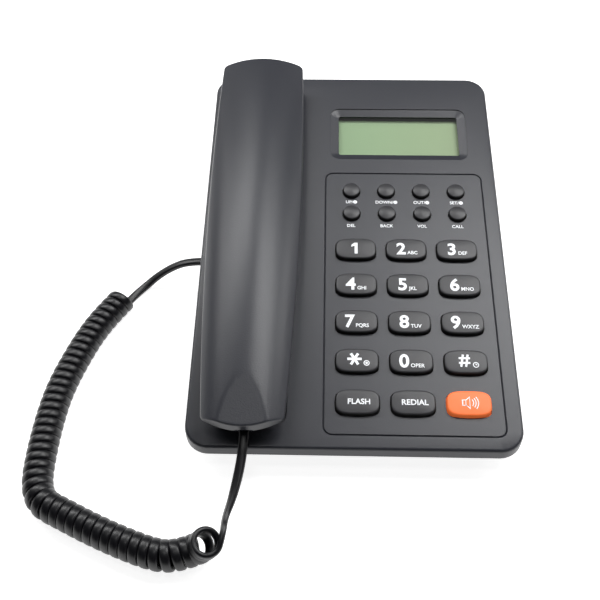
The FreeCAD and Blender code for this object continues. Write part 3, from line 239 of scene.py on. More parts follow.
print("materials in the part", len(bpy.data.materials))

# %% [markdown]
# ## Floor
# The phone lies on white paper. A white floor would also throw much light up on to the dark plastic, so
# the material asks Light Path what kind of ray has come. The camera, mirrors and glass see white paper
# with its shadows, other rays see a plainer grey, and from below there is nothing.

# %% Floor paper
PAPER_WHITE, FLOOR_BOUNCE, FLOOR_LIFT = 0.82, 0.7, 0.88
FLOOR_REACH = 4.0


def floor_material():
    """White paper plus a glow where the ray is seen, a darker grey elsewhere, and nothing from below."""
    material = new_material("floor paper")
    tree = material.node_tree
    white = add_node(tree, "BsdfDiffuse", {"Color": (PAPER_WHITE, PAPER_WHITE, PAPER_WHITE, 1)})
    grey = add_node(tree, "BsdfDiffuse", {"Color": (FLOOR_BOUNCE, FLOOR_BOUNCE, FLOOR_BOUNCE, 1)})
    glow = add_node(tree, "Emission", {"Strength": FLOOR_LIFT})
    paper = add_node(tree, "AddShader", {0: white.outputs[0], 1: glow.outputs[0]})
    path = add_node(tree, "LightPath")
    seen = worked(tree, "MAXIMUM", path.outputs["Is Camera Ray"], mirror_rays(tree, path))
    above = add_node(tree, "MixShader", {0: seen, 1: grey.outputs[0], 2: paper.outputs[0]})
    below = add_node(tree, "BsdfTransparent")
    under = add_node(tree, "NewGeometry").outputs["Backfacing"]
    sided = add_node(tree, "MixShader", {0: under, 1: above.outputs[0], 2: below.outputs[0]})
    add_node(tree, "OutputMaterial", {"Surface": sided.outputs[0]})
    return material


corners = FLOOR_REACH * np.array([(-1, -1, 0), (1, -1, 0), (1, 1, 0), (-1, 1, 0)])
floor_mesh = bpy.data.meshes.new("floor")
floor_mesh.from_pydata(corners.tolist(), [], [(0, 1, 2, 3)])
floor_mesh.materials.append(floor_material())
floor = bpy.data.objects.new("floor", floor_mesh)
scene.collection.objects.link(floor)
print("floor", 2 * FLOOR_REACH, "m wide")

# %% [markdown]
# ## Sky
# A studio is dark but for its lamps, with a white sweep behind the table. A picture of a studio could
# light the phone, but a few nodes do as well: a faint sky that grows towards the zenith, and white
# wherever the camera or a low reflection looks past the floor.

# %% Sky
# Strengths of the sky low down and overhead, and the heights of a ray that they belong to.
SKY_LOW, SKY_HIGH = 0.006, 0.02
SKY_FROM, SKY_TO = 0.2, 0.95
BACKDROP_FULL, BACKDROP_GONE = 0.02, 0.2


def sky(low, high):
    """Light that grows with a ray's height, and white for the camera and for low reflections."""
    world = bpy.data.worlds.new("sky")
    world.use_nodes = True
    tree = world.node_tree
    way = add_node(tree, "TexCoord").outputs["Generated"]
    height = add_node(tree, "SeparateXYZ", {0: way}).outputs["Z"]
    path = add_node(tree, "LightPath")
    backdrop = ramped(tree, height, BACKDROP_FULL, BACKDROP_GONE, 1.0, 0.0)
    mirrored = worked(tree, "MULTIPLY", mirror_rays(tree, path), backdrop)
    white = worked(tree, "MAXIMUM", path.outputs["Is Camera Ray"], mirrored)
    faint = ramped(tree, height, SKY_FROM, SKY_TO, low, high)
    level = add_node(tree, "Mix", {"Factor": white, "A": faint, "B": 1.0}).outputs["Result"]
    light = tree.nodes["Background"].inputs
    light["Color"].default_value = (1, 1, 1, 1)
    tree.links.new(level, light["Strength"])
    return world


scene.world = sky(SKY_LOW, SKY_HIGH)
print("sky", SKY_LOW, "to", SKY_HIGH)

# %% [markdown]
# ## Lamps
# Dark satin plastic is seen mostly by what it mirrors, so long strip lamps behind the phone draw its
# forms. Point lamps would leave hard spots. Two strips lie to the left and right, one hangs higher for
# faces that lean forward, and small boxes on three sides lift the flanks.

# %% Lamps
# Each lamp has its place, what it faces, its width and height in metres, and its power in watts.
LAMPS = {
    "left strip": ((-0.47, 0.56, 0.95), (-0.47, 0, 0.03), (0.72, 0.2), 5.2),
    "right strip": ((0.5, 0.49, 0.98), (0.5, 0, 0.03), (0.84, 0.17), 4.7),
    "top strip": ((0.56, 0.26, 1.06), (0.56, 0, 0.03), (0.88, 0.2), 4.4),
    "front box": ((-0.1, -0.16, 1.1), (-0.1, 0, 0.03), (0.3, 0.2), 0.8),
    "left box": ((-0.85, 0.5, 0.65), (-0.05, 0, 0.03), (0.4, 0.4), 2.2),
    "right box": ((1.0, 0.5, 0.55), (-0.05, 0, 0.03), (0.4, 0.4), 2.2),
}


def area_light(name, place, target, size, power):
    """A rectangular lamp at a place, turned to face a target, with its long side level."""
    light = bpy.data.lights.new(name, "AREA")
    light.shape = "RECTANGLE"
    light.size, light.size_y = size
    light.energy = power
    lamp = bpy.data.objects.new(name, light)
    lamp.location = place
    way = np.array(target) - np.array(place)
    tip = math.acos(-way[2] / np.linalg.norm(way))
    lamp.rotation_euler = (tip, 0, math.atan2(way[1], way[0]) - math.pi / 2)
    scene.collection.objects.link(lamp)


for name, (place, target, size, power) in LAMPS.items():
    area_light(name, place, target, size, power)
print("lamps", len(LAMPS))

# %% [markdown]
# ## Moulded plastic
# The housing, keys and cord are all moulded, and differ in colour, gloss and how coarse the mould was.
# Each could have its own nodes, but one group with named inputs keeps them alike. It gives a tone that
# drifts slowly, a roughness that follows it, and the normal of a fine grain. Its Shade input paints shade:
# it darkens the tone and roughens the gloss. The shader itself stays in each material.

# %% The moulded group
GRAIN_SCALE, GRAIN_DEPTH, DRIFT_SCALE = 1500.0, 0.0001, 14.0


def moulded_group():
    """Tone c k (1 - shade) and roughness r k + shade / 2 with k = 1 + drift (noise - 1/2), and a bump."""
    group = bpy.data.node_groups.new("moulded plastic", "ShaderNodeTree")
    face = group.interface
    face.new_socket("Colour", in_out="INPUT", socket_type="NodeSocketColor")
    for name, value in (("Roughness", 0.5), ("Grain", 0.05), ("Drift", 0.1), ("Shade", 0.0)):
        face.new_socket(name, in_out="INPUT", socket_type="NodeSocketFloat").default_value = value
    for name, kind in (("Tone", "Color"), ("Sheen", "Float"), ("Normal", "Vector")):
        face.new_socket(name, in_out="OUTPUT", socket_type="NodeSocket" + kind)
    given = group.nodes.new("NodeGroupInput").outputs
    made = group.nodes.new("NodeGroupOutput").inputs
    place = add_node(group, "TexCoord").outputs["Object"]
    fine = add_node(group, "TexNoise", {"Vector": place, "Scale": GRAIN_SCALE, "Detail": 2.0})
    slow = add_node(group, "TexNoise", {"Vector": place, "Scale": DRIFT_SCALE, "Detail": 3.0})
    grain = {"Height": fine.outputs["Fac"], "Strength": given["Grain"], "Distance": GRAIN_DEPTH}
    centred = worked(group, "SUBTRACT", slow.outputs["Fac"], 0.5)
    level = worked(group, "MULTIPLY_ADD", centred, given["Drift"], 1.0)
    lit = worked(group, "MULTIPLY", level, worked(group, "SUBTRACT", 1.0, given["Shade"]))
    tone = add_node(group, "VectorMath", {0: given["Colour"], "Scale": lit}, operation="SCALE")
    rough = worked(group, "MULTIPLY", given["Roughness"], level)
    group.links.new(tone.outputs[0], made["Tone"])
    group.links.new(worked(group, "MULTIPLY_ADD", given["Shade"], 0.5, rough), made["Sheen"])
    group.links.new(add_node(group, "Bump", grain).outputs[0], made["Normal"])
    return group


MOULDED = moulded_group()
print("group inputs", len(MOULDED.nodes["Group Input"].outputs) - 1)

# %% [markdown]
# The plastics are named for what they are on the phone, and their colours are those of the plastic in
# plain light, but for the pan, whose lighter grey is painted light from the white floor. A key's walls lie
# in the shade of its well, and that shade is painted into its material, which reads how far each point is
# from the top. The orange key and the white print glow a little, which is painted light that brightens
# them.

# %% Moulded plastics
def surfaced(material, inputs):
    """The material, its tree ended by one Principled shader on the given inputs."""
    shader = add_node(material.node_tree, "BsdfPrincipled", inputs)
    add_node(material.node_tree, "OutputMaterial", {"Surface": shader.outputs[0]})
    return material


def moulded(name, colour, roughness, grain, drift, shade_from=None, glow=0.0):
    """The moulded group under one shader. shade_from names a mesh attribute that paints shade on a key's
    walls.
    """
    material = new_material(name)
    tree = material.node_tree
    inputs = {"Colour": (*colour, 1), "Roughness": roughness, "Grain": grain, "Drift": drift}
    if shade_from:
        # Painted shade: the attribute darkens the key's walls and rounded edge.
        inputs["Shade"] = add_node(tree, "Attribute", attribute_name=shade_from).outputs["Fac"]
    skin = add_node(tree, "Group", inputs, node_tree=MOULDED).outputs
    look = {"Base Color": skin["Tone"], "Roughness": skin["Sheen"], "Normal": skin["Normal"]}
    # The glow is painted light: an emission in the plastic's own tone.
    if glow:
        look.update({"Emission Color": skin["Tone"], "Emission Strength": glow})
    return surfaced(material, look)


GREY = (0.041, 0.043, 0.053)
HOUSING = moulded("housing plastic", GREY, 0.34, 0.25, 0.06)
# The pan's grey is lighter than the housing's: painted light, standing for the bounce off the white floor
# on its sloping sides.
PAN = moulded("pan plastic", (0.1, 0.1, 0.105), 0.45, 0.25, 0.06)
HANDSET = moulded("handset plastic", GREY, 0.34, 0.6, 0.06)
KEY = moulded("key plastic", (0.045, 0.045, 0.05), 0.38, 0.12, 0.1, "wall")
# The orange key and the white print glow: painted light that brightens them.
ORANGE = moulded("orange key plastic", (1.0, 0.2, 0.05), 0.45, 0.08, 0.05, None, 0.35)
PRINT = moulded("white print", (0.92, 0.94, 0.96), 0.6, 0.0, 0.0, None, 0.3)
JACKET = moulded("cord jacket", (0.006, 0.006, 0.008), 0.36, 0.05, 0.2)
RUBBER = moulded("foot rubber", (0.02, 0.02, 0.02), 0.8, 0.3, 0.1)
JACK = moulded("jack plastic", (0.02, 0.02, 0.022), 0.5, 0.1, 0.1)
MEMBRANE = moulded("membrane rubber", (0.55, 0.56, 0.57), 0.6, 0.05, 0.05)
BOARD = moulded("board", (0.03, 0.12, 0.05), 0.45, 0.05, 0.1)
COMPONENT = moulded("component", (0.02, 0.02, 0.022), 0.4, 0.05, 0.1)
PAPER = moulded("cone paper", (0.05, 0.045, 0.04), 0.85, 0.4, 0.2)
CELL = moulded("cell jacket", (0.05, 0.09, 0.16), 0.35, 0.0, 0.05)
print("moulded plastics", MOULDED.users)

# %% [markdown]
# ## Metal and clear plastic
# Screws, springs and magnets are bare metal. The window over the display and the two plugs are clear.
# Clear plastic could bend light as glass does, but it is thin here and hardly does, so it is a plain skin
# that lets most light straight through.

# %% Metal and clear plastic
def metal(name, colour, roughness):
    """Bare metal: one colour and one roughness, fully metallic."""
    look = {"Base Color": (*colour, 1), "Metallic": 1.0, "Roughness": roughness}
    return surfaced(new_material(name), look)


def clear(name, colour, alpha, roughness):
    """Clear plastic: alpha is the share of light that it stops, with a faint body colour and sheen."""
    look = {"Base Color": (*colour, 1), "Alpha": alpha, "Roughness": roughness}
    return surfaced(new_material(name), look)


STEEL = metal("steel", (0.62, 0.62, 0.63), 0.32)
MAGNET = metal("magnet", (0.3, 0.3, 0.31), 0.45)
LENS = clear("window lens", (0.5, 0.52, 0.5), 0.06, 0.05)
PLUG = clear("plug plastic", (0.3, 0.31, 0.33), 0.5, 0.1)
print("metals and clear plastics", [m.name for m in (STEEL, MAGNET, LENS, PLUG)])

# %% [markdown]
# ## Display glass
# The display is a green-grey glass, a little lighter at one end, and its far edge lies in the shade of the
# frame, which is painted on as a black strip. A picture could show that, but two Object coordinates are
# enough: x for the change of tone, y for the painted shade.

# %% Display glass
DISPLAY_LEFT, DISPLAY_RIGHT, DISPLAY_DARK = 0.005, 0.065, 0.0834


def display_glass(left, right, dark_from):
    """One colour that turns evenly into another from left to right, and black painted shade beyond
    dark_from in y.
    """
    material = new_material("display glass")
    tree = material.node_tree
    place = add_node(tree, "SeparateXYZ", {0: add_node(tree, "TexCoord").outputs["Object"]}).outputs
    across = ramped(tree, place["X"], DISPLAY_LEFT, DISPLAY_RIGHT)
    tone = add_node(tree, "Mix", {"Factor": across, "A": (*left, 1), "B": (*right, 1)}, data_type="RGBA")
    # Painted shade: beyond dark_from the glass is black, for the shade of the frame over its far edge.
    lit = worked(tree, "LESS_THAN", place["Y"], dark_from)
    seen = add_node(tree, "VectorMath", {0: tone.outputs["Result"], "Scale": lit}, operation="SCALE")
    return surfaced(material, {"Base Color": seen.outputs[0], "Roughness": 0.5})


LCD = display_glass((0.33, 0.5, 0.265), (0.365, 0.49, 0.265), DISPLAY_DARK)
print("display dark beyond y", DISPLAY_DARK, "m")

# %% [markdown]
# ## The cord's route
# A curly cord leaves the base, lies on the table in a wide bow and comes back to the handset. It could be
# a spring bent by a Curve modifier, but its pitch would then stretch wherever the path does. Here a
# spline gives only the axis of the curls, and Blender samples it into points that numpy can wind a wire
# round.

# %% Splines as points
ROUTE_STEPS = 40


def taken(mesh):
    """Points and faces of a mesh, read as whole arrays. The mesh is then removed."""
    places = np.empty(3 * len(mesh.vertices), np.float32)
    mesh.vertices.foreach_get("co", places)
    faces = [list(face.vertices) for face in mesh.polygons]
    bpy.data.meshes.remove(mesh)
    return places.reshape(-1, 3).astype(float), faces


def sampled(curve):
    """Points and faces of the mesh that Blender makes of a curve, which is then removed."""
    holder = bpy.data.objects.new(curve.name, curve)
    scene.collection.objects.link(holder)
    graph = bpy.context.evaluated_depsgraph_get()
    mesh = bpy.data.meshes.new_from_object(holder.evaluated_get(graph))
    bpy.data.objects.remove(holder)
    bpy.data.curves.remove(curve)
    return taken(mesh)


def route(points):
    """Points along a quadratic NURBS spline with clamped ends, in mm, as Blender samples it."""
    curve = bpy.data.curves.new("route", "CURVE")
    curve.dimensions = "3D"
    curve.resolution_u = ROUTE_STEPS
    spline = curve.splines.new("NURBS")
    spline.points.add(len(points) - 1)
    spline.points.foreach_set("co", np.c_[np.array(points, float), np.ones(len(points))].ravel())
    spline.order_u = 3
    spline.use_endpoint_u = True
    return sampled(curve)[0]


def lengths(line):
    """Length along a line of points, from 0."""
    return np.concatenate([[0.0], np.cumsum(np.linalg.norm(np.diff(line, axis=0), axis=1))])


def resample(line, count):
    """The same line at even steps of its length."""
    along = lengths(line)
    even = np.linspace(0, along[-1], count)
    return np.stack([np.interp(even, along, line[:, k]) for k in range(3)], -1)


print("a straight test route is", lengths(route([(0, 0, 0), (5, 0, 0), (10, 0, 0)]))[-1], "mm long")

# %% Axis of the curls
CURL_RADIUS, CURL_PITCH = 5.5, 4.3
CORD_WIDTH, CORD_THICKNESS = 4.25, 2.6
AXIS_HEIGHT = CURL_RADIUS + CORD_THICKNESS / 2
AXIS_STEPS = 1200
# The axis lies on the table, and at its end it turns up towards the handset.
AXIS_POINTS = [
    (-113.5, -17.0), (-120.0, -27.0), (-127.5, -41.0), (-133.5, -59.0), (-137.8, -76.0),
    (-139.4, -93.0), (-139.6, -110.0), (-138.8, -125.0), (-134.6, -134.0), (-125.0, -138.6),
    (-112.0, -145.0), (-98.0, -151.0), (-84.0, -156.0),
]
AXIS_END = [
    (-76.0, -157.0, AXIS_HEIGHT), (-65.2, -153.5, AXIS_HEIGHT),
    (-60.9, -153.2, 13.0), (-59.9, -155.3, 19.0),
]

axis = resample(route([(x, y, AXIS_HEIGHT) for x, y in AXIS_POINTS] + AXIS_END), AXIS_STEPS)
print("axis length", round(lengths(axis)[-1], 1), "mm")

# %% [markdown]
# ## Curls
# The flat wire was wound round a rod and set there, so its curls sit side by side at one pitch. A Screw
# modifier would give a straight spring only. A formula can follow the bent axis: the wire turns round it
# by an angle that grows with the length. It first runs in along the table, and then winds up on to the
# first curl.

# %% Winding the wire
TURN_STEPS = 40
TURN_STEP = 2 * math.pi / TURN_STEPS
RAMP_TURNS, RAMP_ADVANCE, RAMP_STEPS = 0.7, 15.0, 60


def summed(rate, steps):
    """Running integral of a rate by the trapezium rule, from 0."""
    return np.concatenate([[0.0], np.cumsum((rate[1:] + rate[:-1]) / 2 * np.diff(steps))])


def at_lengths(s, along, values):
    """Rows of values between their places along a line, one column at a time."""
    return np.stack([np.interp(s, along, column) for column in values.T], -1)


def winding(axis):
    """Wire centre C + r (cos a U + sin a T x U), where a grows by 2 pi per pitch, and its outward way."""
    along = lengths(axis)
    heading = unit(np.gradient(axis, along, axis=0))
    up = unit(np.array([0.0, 0.0, 1.0]) - heading * heading[:, 2:])
    turn = np.linspace(0, RAMP_TURNS, RAMP_STEPS)
    wound = smoothstep(turn / RAMP_TURNS)
    ramp_s = summed(CURL_PITCH * wound + RAMP_ADVANCE * (1 - wound), turn)
    ramp_a = math.pi + 2 * math.pi * summed(wound, turn)
    advance = CURL_PITCH / (2 * math.pi)
    more = np.arange(TURN_STEP, (along[-1] - ramp_s[-1]) / advance, TURN_STEP)
    s = np.concatenate([ramp_s, ramp_s[-1] + more * advance])
    a = np.concatenate([ramp_a, ramp_a[-1] + more])[:, None]
    centre, t, u = at_lengths(s, along, axis), at_lengths(s, along, heading), at_lengths(s, along, up)
    t = unit(t)
    u = unit(u - t * np.sum(u * t, axis=1, keepdims=True))
    outward = u * np.cos(a) + np.cross(t, u) * np.sin(a)
    return centre + CURL_RADIUS * outward, outward


wire, outward = winding(axis)
print("curls", round((len(wire) - RAMP_STEPS) / TURN_STEPS + RAMP_TURNS / 2, 1))

# %% [markdown]
# The last curl could stop anywhere, but the lead would then leave it with a kink. So the wire is cut
# where, in its last turn, it already heads most nearly for the lead's first point.

# %% Where the curls end
HANDSET_LEAD = [(-54.0, -143.5, 15.4), (-51.3, -135.0, 16.6), (-48.6, -122.0, 20.4)]

tangent = unit(np.gradient(wire, axis=0))
aim = unit(np.array(HANDSET_LEAD[0]) - wire)
match = np.sum(tangent * aim, axis=1)
last = len(wire) - 1 - TURN_STEPS + int(np.argmax(match[-1 - TURN_STEPS:-1]))
wire, outward, tangent = wire[:last + 1], outward[:last + 1], tangent[:last + 1]
print("curl points", len(wire), "end", wire[-1].round(1))

# %% [markdown]
# ## Leads and the flat jacket
# Two plain leads join the curls to the plugs. The jacket is a flat oval, with its wires side by side, so
# it has a thin way and a wide way. A bevelled curve could carry an oval, but would twist it as it likes.
# Here the thin way is given at every point: away from the axis on the curls, and along the deck's normal
# at the handset's plug.

# %% Flat jacket
RING_POINTS, OVAL_POWER = 20, 0.7


def squarish(angle, power):
    """Cosine and sine with their sizes raised to a power: 1 draws a circle, less than 1 a fuller shape."""
    c, s = np.cos(angle), np.sin(angle)
    return np.sign(c) * np.abs(c) ** power, np.sign(s) * np.abs(s) ** power


def oval_tube(line, thin):
    """Rings round a line: P + w c(a) W + h s(a) N, with the thin way N and W across it."""
    t = unit(np.gradient(line, axis=0))
    n = unit(thin - t * np.sum(thin * t, axis=1, keepdims=True))
    w = np.cross(t, n)
    c, s = squarish(np.linspace(0, 2 * math.pi, RING_POINTS, endpoint=False), OVAL_POWER)
    wide = w[:, None] * c[:, None] * CORD_WIDTH / 2
    deep = n[:, None] * s[:, None] * CORD_THICKNESS / 2
    return line[:, None] + wide + deep


print("jacket", CORD_WIDTH, "by", CORD_THICKNESS, "mm")

# %% The two leads
BASE_OUTLET = (-76.4, -3.0, 16.0)
BASE_LEAD = [(-84.0, -3.2, 15.9), (-92.4, -3.6, 11.8), (-100.0, -4.8, 6.4), (-105.5, -7.6, 2.6)]
HANDSET_OUTLET = deck([-47.6, -106.5, 7.4]) / MM
DECK_NORMAL = np.array([0.0, -math.sin(TILT), math.cos(TILT)])
DECK_FRONT = np.array([0.0, -math.cos(TILT), -math.sin(TILT)])
LEAD_RUN, LEAD_GAP, PLUG_RUN = 5.0, 0.6, 5.5
START_STEPS, END_STEPS = 70, 90
SWING_RATE = 1.15

arrive = [wire[0] - tangent[0] * LEAD_RUN, wire[0] - tangent[0] * LEAD_GAP]
start_lead = resample(route([BASE_OUTLET] + BASE_LEAD + arrive), START_STEPS)
leave = [wire[-1] + tangent[-1] * LEAD_GAP, wire[-1] + tangent[-1] * LEAD_RUN]
plug_end = [HANDSET_OUTLET + DECK_FRONT * PLUG_RUN, HANDSET_OUTLET]
end_lead = resample(route(leave + HANDSET_LEAD + plug_end), END_STEPS)
print("leads", round(lengths(start_lead)[-1], 1), "and", round(lengths(end_lead)[-1], 1), "mm")

# %% [markdown]
# The cord is two pieces. The curls and the base's lead ride on the base, so the curls keep their shape
# when the handset is lifted. The handset's lead rides on no body and stays where it is drawn.

# %% Cord pieces
JACKET_CREASE, TIED_RUN = 60.0, 6.0

start_thin = np.tile([0.0, 0.0, -1.0], (START_STEPS, 1))
curled_line = np.concatenate([start_lead, wire])
vertices, faces = capped(oval_tube(curled_line, np.concatenate([start_thin, outward])) * MM)
cord = add_piece("cord", vertices, faces, JACKET, "base",
                 ("base_lead", "curly_cord"), JACKET_CREASE)

swing = smoothstep(np.linspace(0, 1, END_STEPS) * SWING_RATE)[:, None]
side = np.sign(outward[-1] @ DECK_NORMAL)
end_thin = outward[-1] * (1 - swing) + side * DECK_NORMAL * swing
lead_line = np.concatenate([wire[-1:], end_lead])
vertices, lead_faces = capped(oval_tube(lead_line, np.concatenate([outward[-1:], end_thin])) * MM)
lead = add_piece("cord_end", vertices, lead_faces, JACKET, None,
                 ("handset_lead",), JACKET_CREASE)
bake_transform(lead)
print("cord", round(lengths(np.concatenate([curled_line, end_lead]))[-1]), "mm, faces", len(faces))

# %% [markdown]
# ## Handset plan
# Seen from above, the handset is a long bar with gently bowed sides, two bowed ends and soft corners. A
# stretched cube could be bevelled to that, but the ends have different widths. Here each side is an arc
# of one big circle, each end a parabola, and each corner a small arc that meets both.

# %% Sides and ends of the handset
FRONT_Y, FRONT_BULGE, FRONT_HALF = 104.0, 5.3, 18.2
REAR_Y, REAR_BULGE, REAR_HALF = 106.0, 3.3, 21.6
WIDEST = (23.1, 30.0)


def circle_through(points):
    """Centre and radius of the circle through three points: x^2 + y^2 = 2 a x + 2 b y + c."""
    p = np.array(points, float)
    a, b, c = np.linalg.solve(np.c_[2 * p, np.ones(3)], (p * p).sum(1))
    return np.array([a, b]), math.sqrt(c + a * a + b * b)


SIDE_CENTRE, SIDE_RADIUS = circle_through([(FRONT_HALF, -FRONT_Y), WIDEST, (REAR_HALF, REAR_Y)])


def half_width(y):
    """Half the width at y: the side circle's x, a + sqrt(r^2 - (y - b)^2)."""
    return SIDE_CENTRE[0] + np.sqrt(SIDE_RADIUS ** 2 - (y - SIDE_CENTRE[1]) ** 2)


def end_arc(x, half, end, bulge):
    """How far an end reaches at x: a parabola that meets the side's end."""
    return end + bulge * (1 - (x / half) ** 2)


print("side radius", round(SIDE_RADIUS), "mm")

# %% Outline of the handset
CORNER = 3.0
CORNER_STEPS, SIDE_STEPS, END_ARC_STEPS = 9, 90, 14


def quarter(half, end, bulge, sign_y):
    """The rounded corner between a side and an end, as a rational parabola, which is a circle's arc."""
    corner = np.array([half, end])
    side_way = unit(np.array([half_width(sign_y * (end - 1)) - half_width(sign_y * end), -1.0]))
    end_way = unit(np.array([-1.0, 2 * bulge / half]))
    half_angle = math.acos(float(side_way @ end_way)) / 2
    reach = CORNER / math.tan(half_angle)
    t = np.linspace(0, 1, CORNER_STEPS)[:, None]
    parts = [(1 - t) ** 2, 2 * math.sin(half_angle) * t * (1 - t), t ** 2]
    arc = parts[0] * (corner + side_way * reach) + parts[1] * corner + parts[2] * (corner + end_way * reach)
    return arc / sum(parts) * np.array([1, sign_y])


def handset_outline():
    """The closed plan: right side, rear end, then their mirror image."""
    rear = quarter(REAR_HALF, REAR_Y, REAR_BULGE, 1)
    front = quarter(FRONT_HALF, FRONT_Y, FRONT_BULGE, -1)
    y = np.linspace(front[0, 1], rear[0, 1], SIDE_STEPS)[1:-1]
    right = np.stack([half_width(y), y], -1)
    x = np.linspace(rear[-1, 0], 0, END_ARC_STEPS)[1:]
    back = np.stack([x, end_arc(x, REAR_HALF, REAR_Y, REAR_BULGE)], -1)
    x = np.linspace(0, front[-1, 0], END_ARC_STEPS)[:-1]
    lip = np.stack([x, -end_arc(x, FRONT_HALF, FRONT_Y, FRONT_BULGE)], -1)
    half = np.concatenate([lip, front[::-1], right, rear, back])
    return np.concatenate([half, (half * [-1, 1])[-2:0:-1]])


print("outline points", len(handset_outline()))

# %% [markdown]
# ## Handset back
# The back is a shallow arch along the bar, and a sloping flat cuts it at the mouth end. Two profiles
# could be swept across each other, but the ends and corners would then need patches. So the skin is
# rings: each is the outline drawn further in towards a middle line, and a height formula lifts every
# point of it.

# %% Height of the back
FLANGE, SIDE_FACE = 12.0, 0.8
RISE_FRONT, RISE_MIDDLE, RISE_REAR = 7.8, 10.2, 3.2
LIFT_FRONT, LIFT_REAR = 0.2, 1.6
FACET_APEX, FACET_END_HEIGHT, FACET_CREASE = -87.0, 5.6, 0.4


def soft_least(a, b, width):
    """The lesser of two heights; within width of the crease a parabola rounds it off."""
    h = np.clip(0.5 + 0.5 * (b - a) / width, 0, 1)
    return b * (1 - h) + a * h - width * h * (1 - h)


def rise(y):
    """The arch's sagitta: a parabola through its front, middle and rear values."""
    t = y / FRONT_Y
    even, odd = (RISE_REAR + RISE_FRONT) / 2, (RISE_REAR - RISE_FRONT) / 2
    return RISE_MIDDLE + odd * t + (even - RISE_MIDDLE) * t * t


def foot(y):
    """Height of the arch's feet, which climb evenly to the rear."""
    return FLANGE + LIFT_FRONT + (LIFT_REAR - LIFT_FRONT) * (y / FRONT_Y + 1) / 2


def handset_height(x, y):
    """Arch n = f + S - R + sqrt(R^2 - x^2), with foot f and sagitta S, below the mouth end's flat."""
    s, b = rise(y) + SIDE_FACE, half_width(y) + SIDE_FACE
    radius = (b * b + s * s) / (2 * s)
    arch = foot(y) + s - radius + np.sqrt(radius ** 2 - x ** 2)
    apex = foot(FACET_APEX) + rise(FACET_APEX) + SIDE_FACE
    slope = (apex - FLANGE - FACET_END_HEIGHT) / (FACET_APEX + FRONT_Y + FRONT_BULGE)
    return soft_least(arch, apex + slope * (y - FACET_APEX), FACET_CREASE)


print("height at the middle", round(float(handset_height(0.0, 0.0)), 2), "mm above the deck")

# %% Skin of the handset
CRADLE_X, SPINE_END = -48.3, 88.0
EDGE, EDGE_STEPS, TOP_STEPS, LEAST_SIDE = 0.7, 6, 28, 0.05
NOTCH, NOTCH_X, NOTCH_HALF = 1.2, 0.7, 4.2
HANDSET_CREASE = 50.0


def handset_back():
    """Rings P + k (Q - P) from the outline P to the middle line Q, at the back's height.

    The first lies on the flange, the next go round the edge by sine and cosine, the rest run in evenly."""
    plan = handset_outline()
    spine = np.stack([0 * plan[:, 1], np.clip(plan[:, 1], -SPINE_END, SPINE_END)], -1)
    soft = EDGE / np.linalg.norm(plan - spine, axis=1)
    turn = np.linspace(0, math.pi / 2, EDGE_STEPS)
    over = np.linspace(0, 1, TOP_STEPS)[1:]
    share = np.concatenate([np.outer(1 - np.cos(turn), soft), soft + np.outer(over, 1 - soft)])
    drop = np.concatenate([EDGE * (1 - np.sin(turn)), 0 * over])
    place = plan + (spine - plan) * share[..., None]
    height = handset_height(place[..., 0], place[..., 1]) - drop[:, None]
    rings = np.concatenate([place, np.maximum(height, FLANGE + LEAST_SIDE)[..., None]], -1)
    notch = (plan[:, 1] < -FRONT_Y) & (np.abs(plan[:, 0] - NOTCH_X) < NOTCH_HALF)
    lowest = np.c_[plan, FLANGE + NOTCH * notch]
    return np.concatenate([lowest[None], rings]) + [CRADLE_X, 0, 0]


points = handset_back()
rows, columns = points.shape[:2]
back_faces = grid_faces(rows, columns).tolist() + [list(range(columns))]
add_piece("handset_back", deck(points).reshape(-1, 3), back_faces, HANDSET, "handset",
          ("handset_outer_shell",), HANDSET_CREASE)
print("handset back", points.shape)

# %% [markdown]
# ## Keys
# A key is a cap with a soft edge and a low crown, on a flange that keeps it from falling out. It could be
# a bevelled box, but the dial keys are barrels and the others round. A superellipse gives both by one
# number, its power: 2 is a circle and 3.5 a soft barrel. Each point also keeps how far it belongs to the
# wall, for the painted shade on the key's walls.

# %% Skin of a key
FLANGE_TOP, FLANGE_BOTTOM, FLANGE_RIM = -2.5, -3.7, 1.0
AROUND_STEPS, ROUNDING_STEPS, CROWN_STEPS = 72, 7, 12
# How fast the painted shade of the walls fades up the rounded edge.
WALL_FADE = 4
# Half width, half depth, power, height above the deck, crown and edge radius.
DIAL_SHAPE = (9.9, 6.1, 3.5, 2.2, 0.3, 0.9)
ROUND_SHAPE = (4.35, 4.35, 2.0, 1.9, 0.45, 0.8)


def key_skin(a, b, power, proud, crown, edge):
    """Rings (A c(t), B s(t), n) of a superellipse, and each ring's share of wall.

    They go up the flange and wall, round the edge by sine and cosine, and over a crown
    n = proud + crown (1 - k^2) at a share k of the top."""
    c, s = squarish(np.linspace(0, 2 * math.pi, AROUND_STEPS, endpoint=False), 2 / power)
    turn = np.linspace(0, math.pi / 2, ROUNDING_STEPS)
    k = np.linspace(1, 0, CROWN_STEPS)[1:-1]
    grow = np.concatenate([[FLANGE_RIM, FLANGE_RIM, 0.0], edge * (np.cos(turn) - 1)])
    across = np.concatenate([a + grow, (a - edge) * k])
    along = np.concatenate([b + grow, (b - edge) * k])
    sides = [FLANGE_BOTTOM, FLANGE_TOP, FLANGE_TOP]
    n = np.concatenate([sides, proud - edge * (1 - np.sin(turn)), proud + crown * (1 - k ** 2)])
    skin = np.stack([np.outer(across, c), np.outer(along, s), np.outer(n, np.ones(AROUND_STEPS))], -1)
    wall = np.concatenate([np.ones(len(sides)), np.cos(turn) ** WALL_FADE, 0 * k])
    return skin, wall


def crown_height(x, y, a, b, power, proud, crown, edge):
    """Crown height proud + crown (1 - k^2), with k the share of the top's superellipse at a point."""
    k2 = (np.abs(x / (a - edge)) ** power + np.abs(y / (b - edge)) ** power) ** (2 / power)
    return proud + crown * (1 - np.minimum(k2, 1.0))


print("dial key", 2 * DIAL_SHAPE[0], "by", 2 * DIAL_SHAPE[1], "mm")

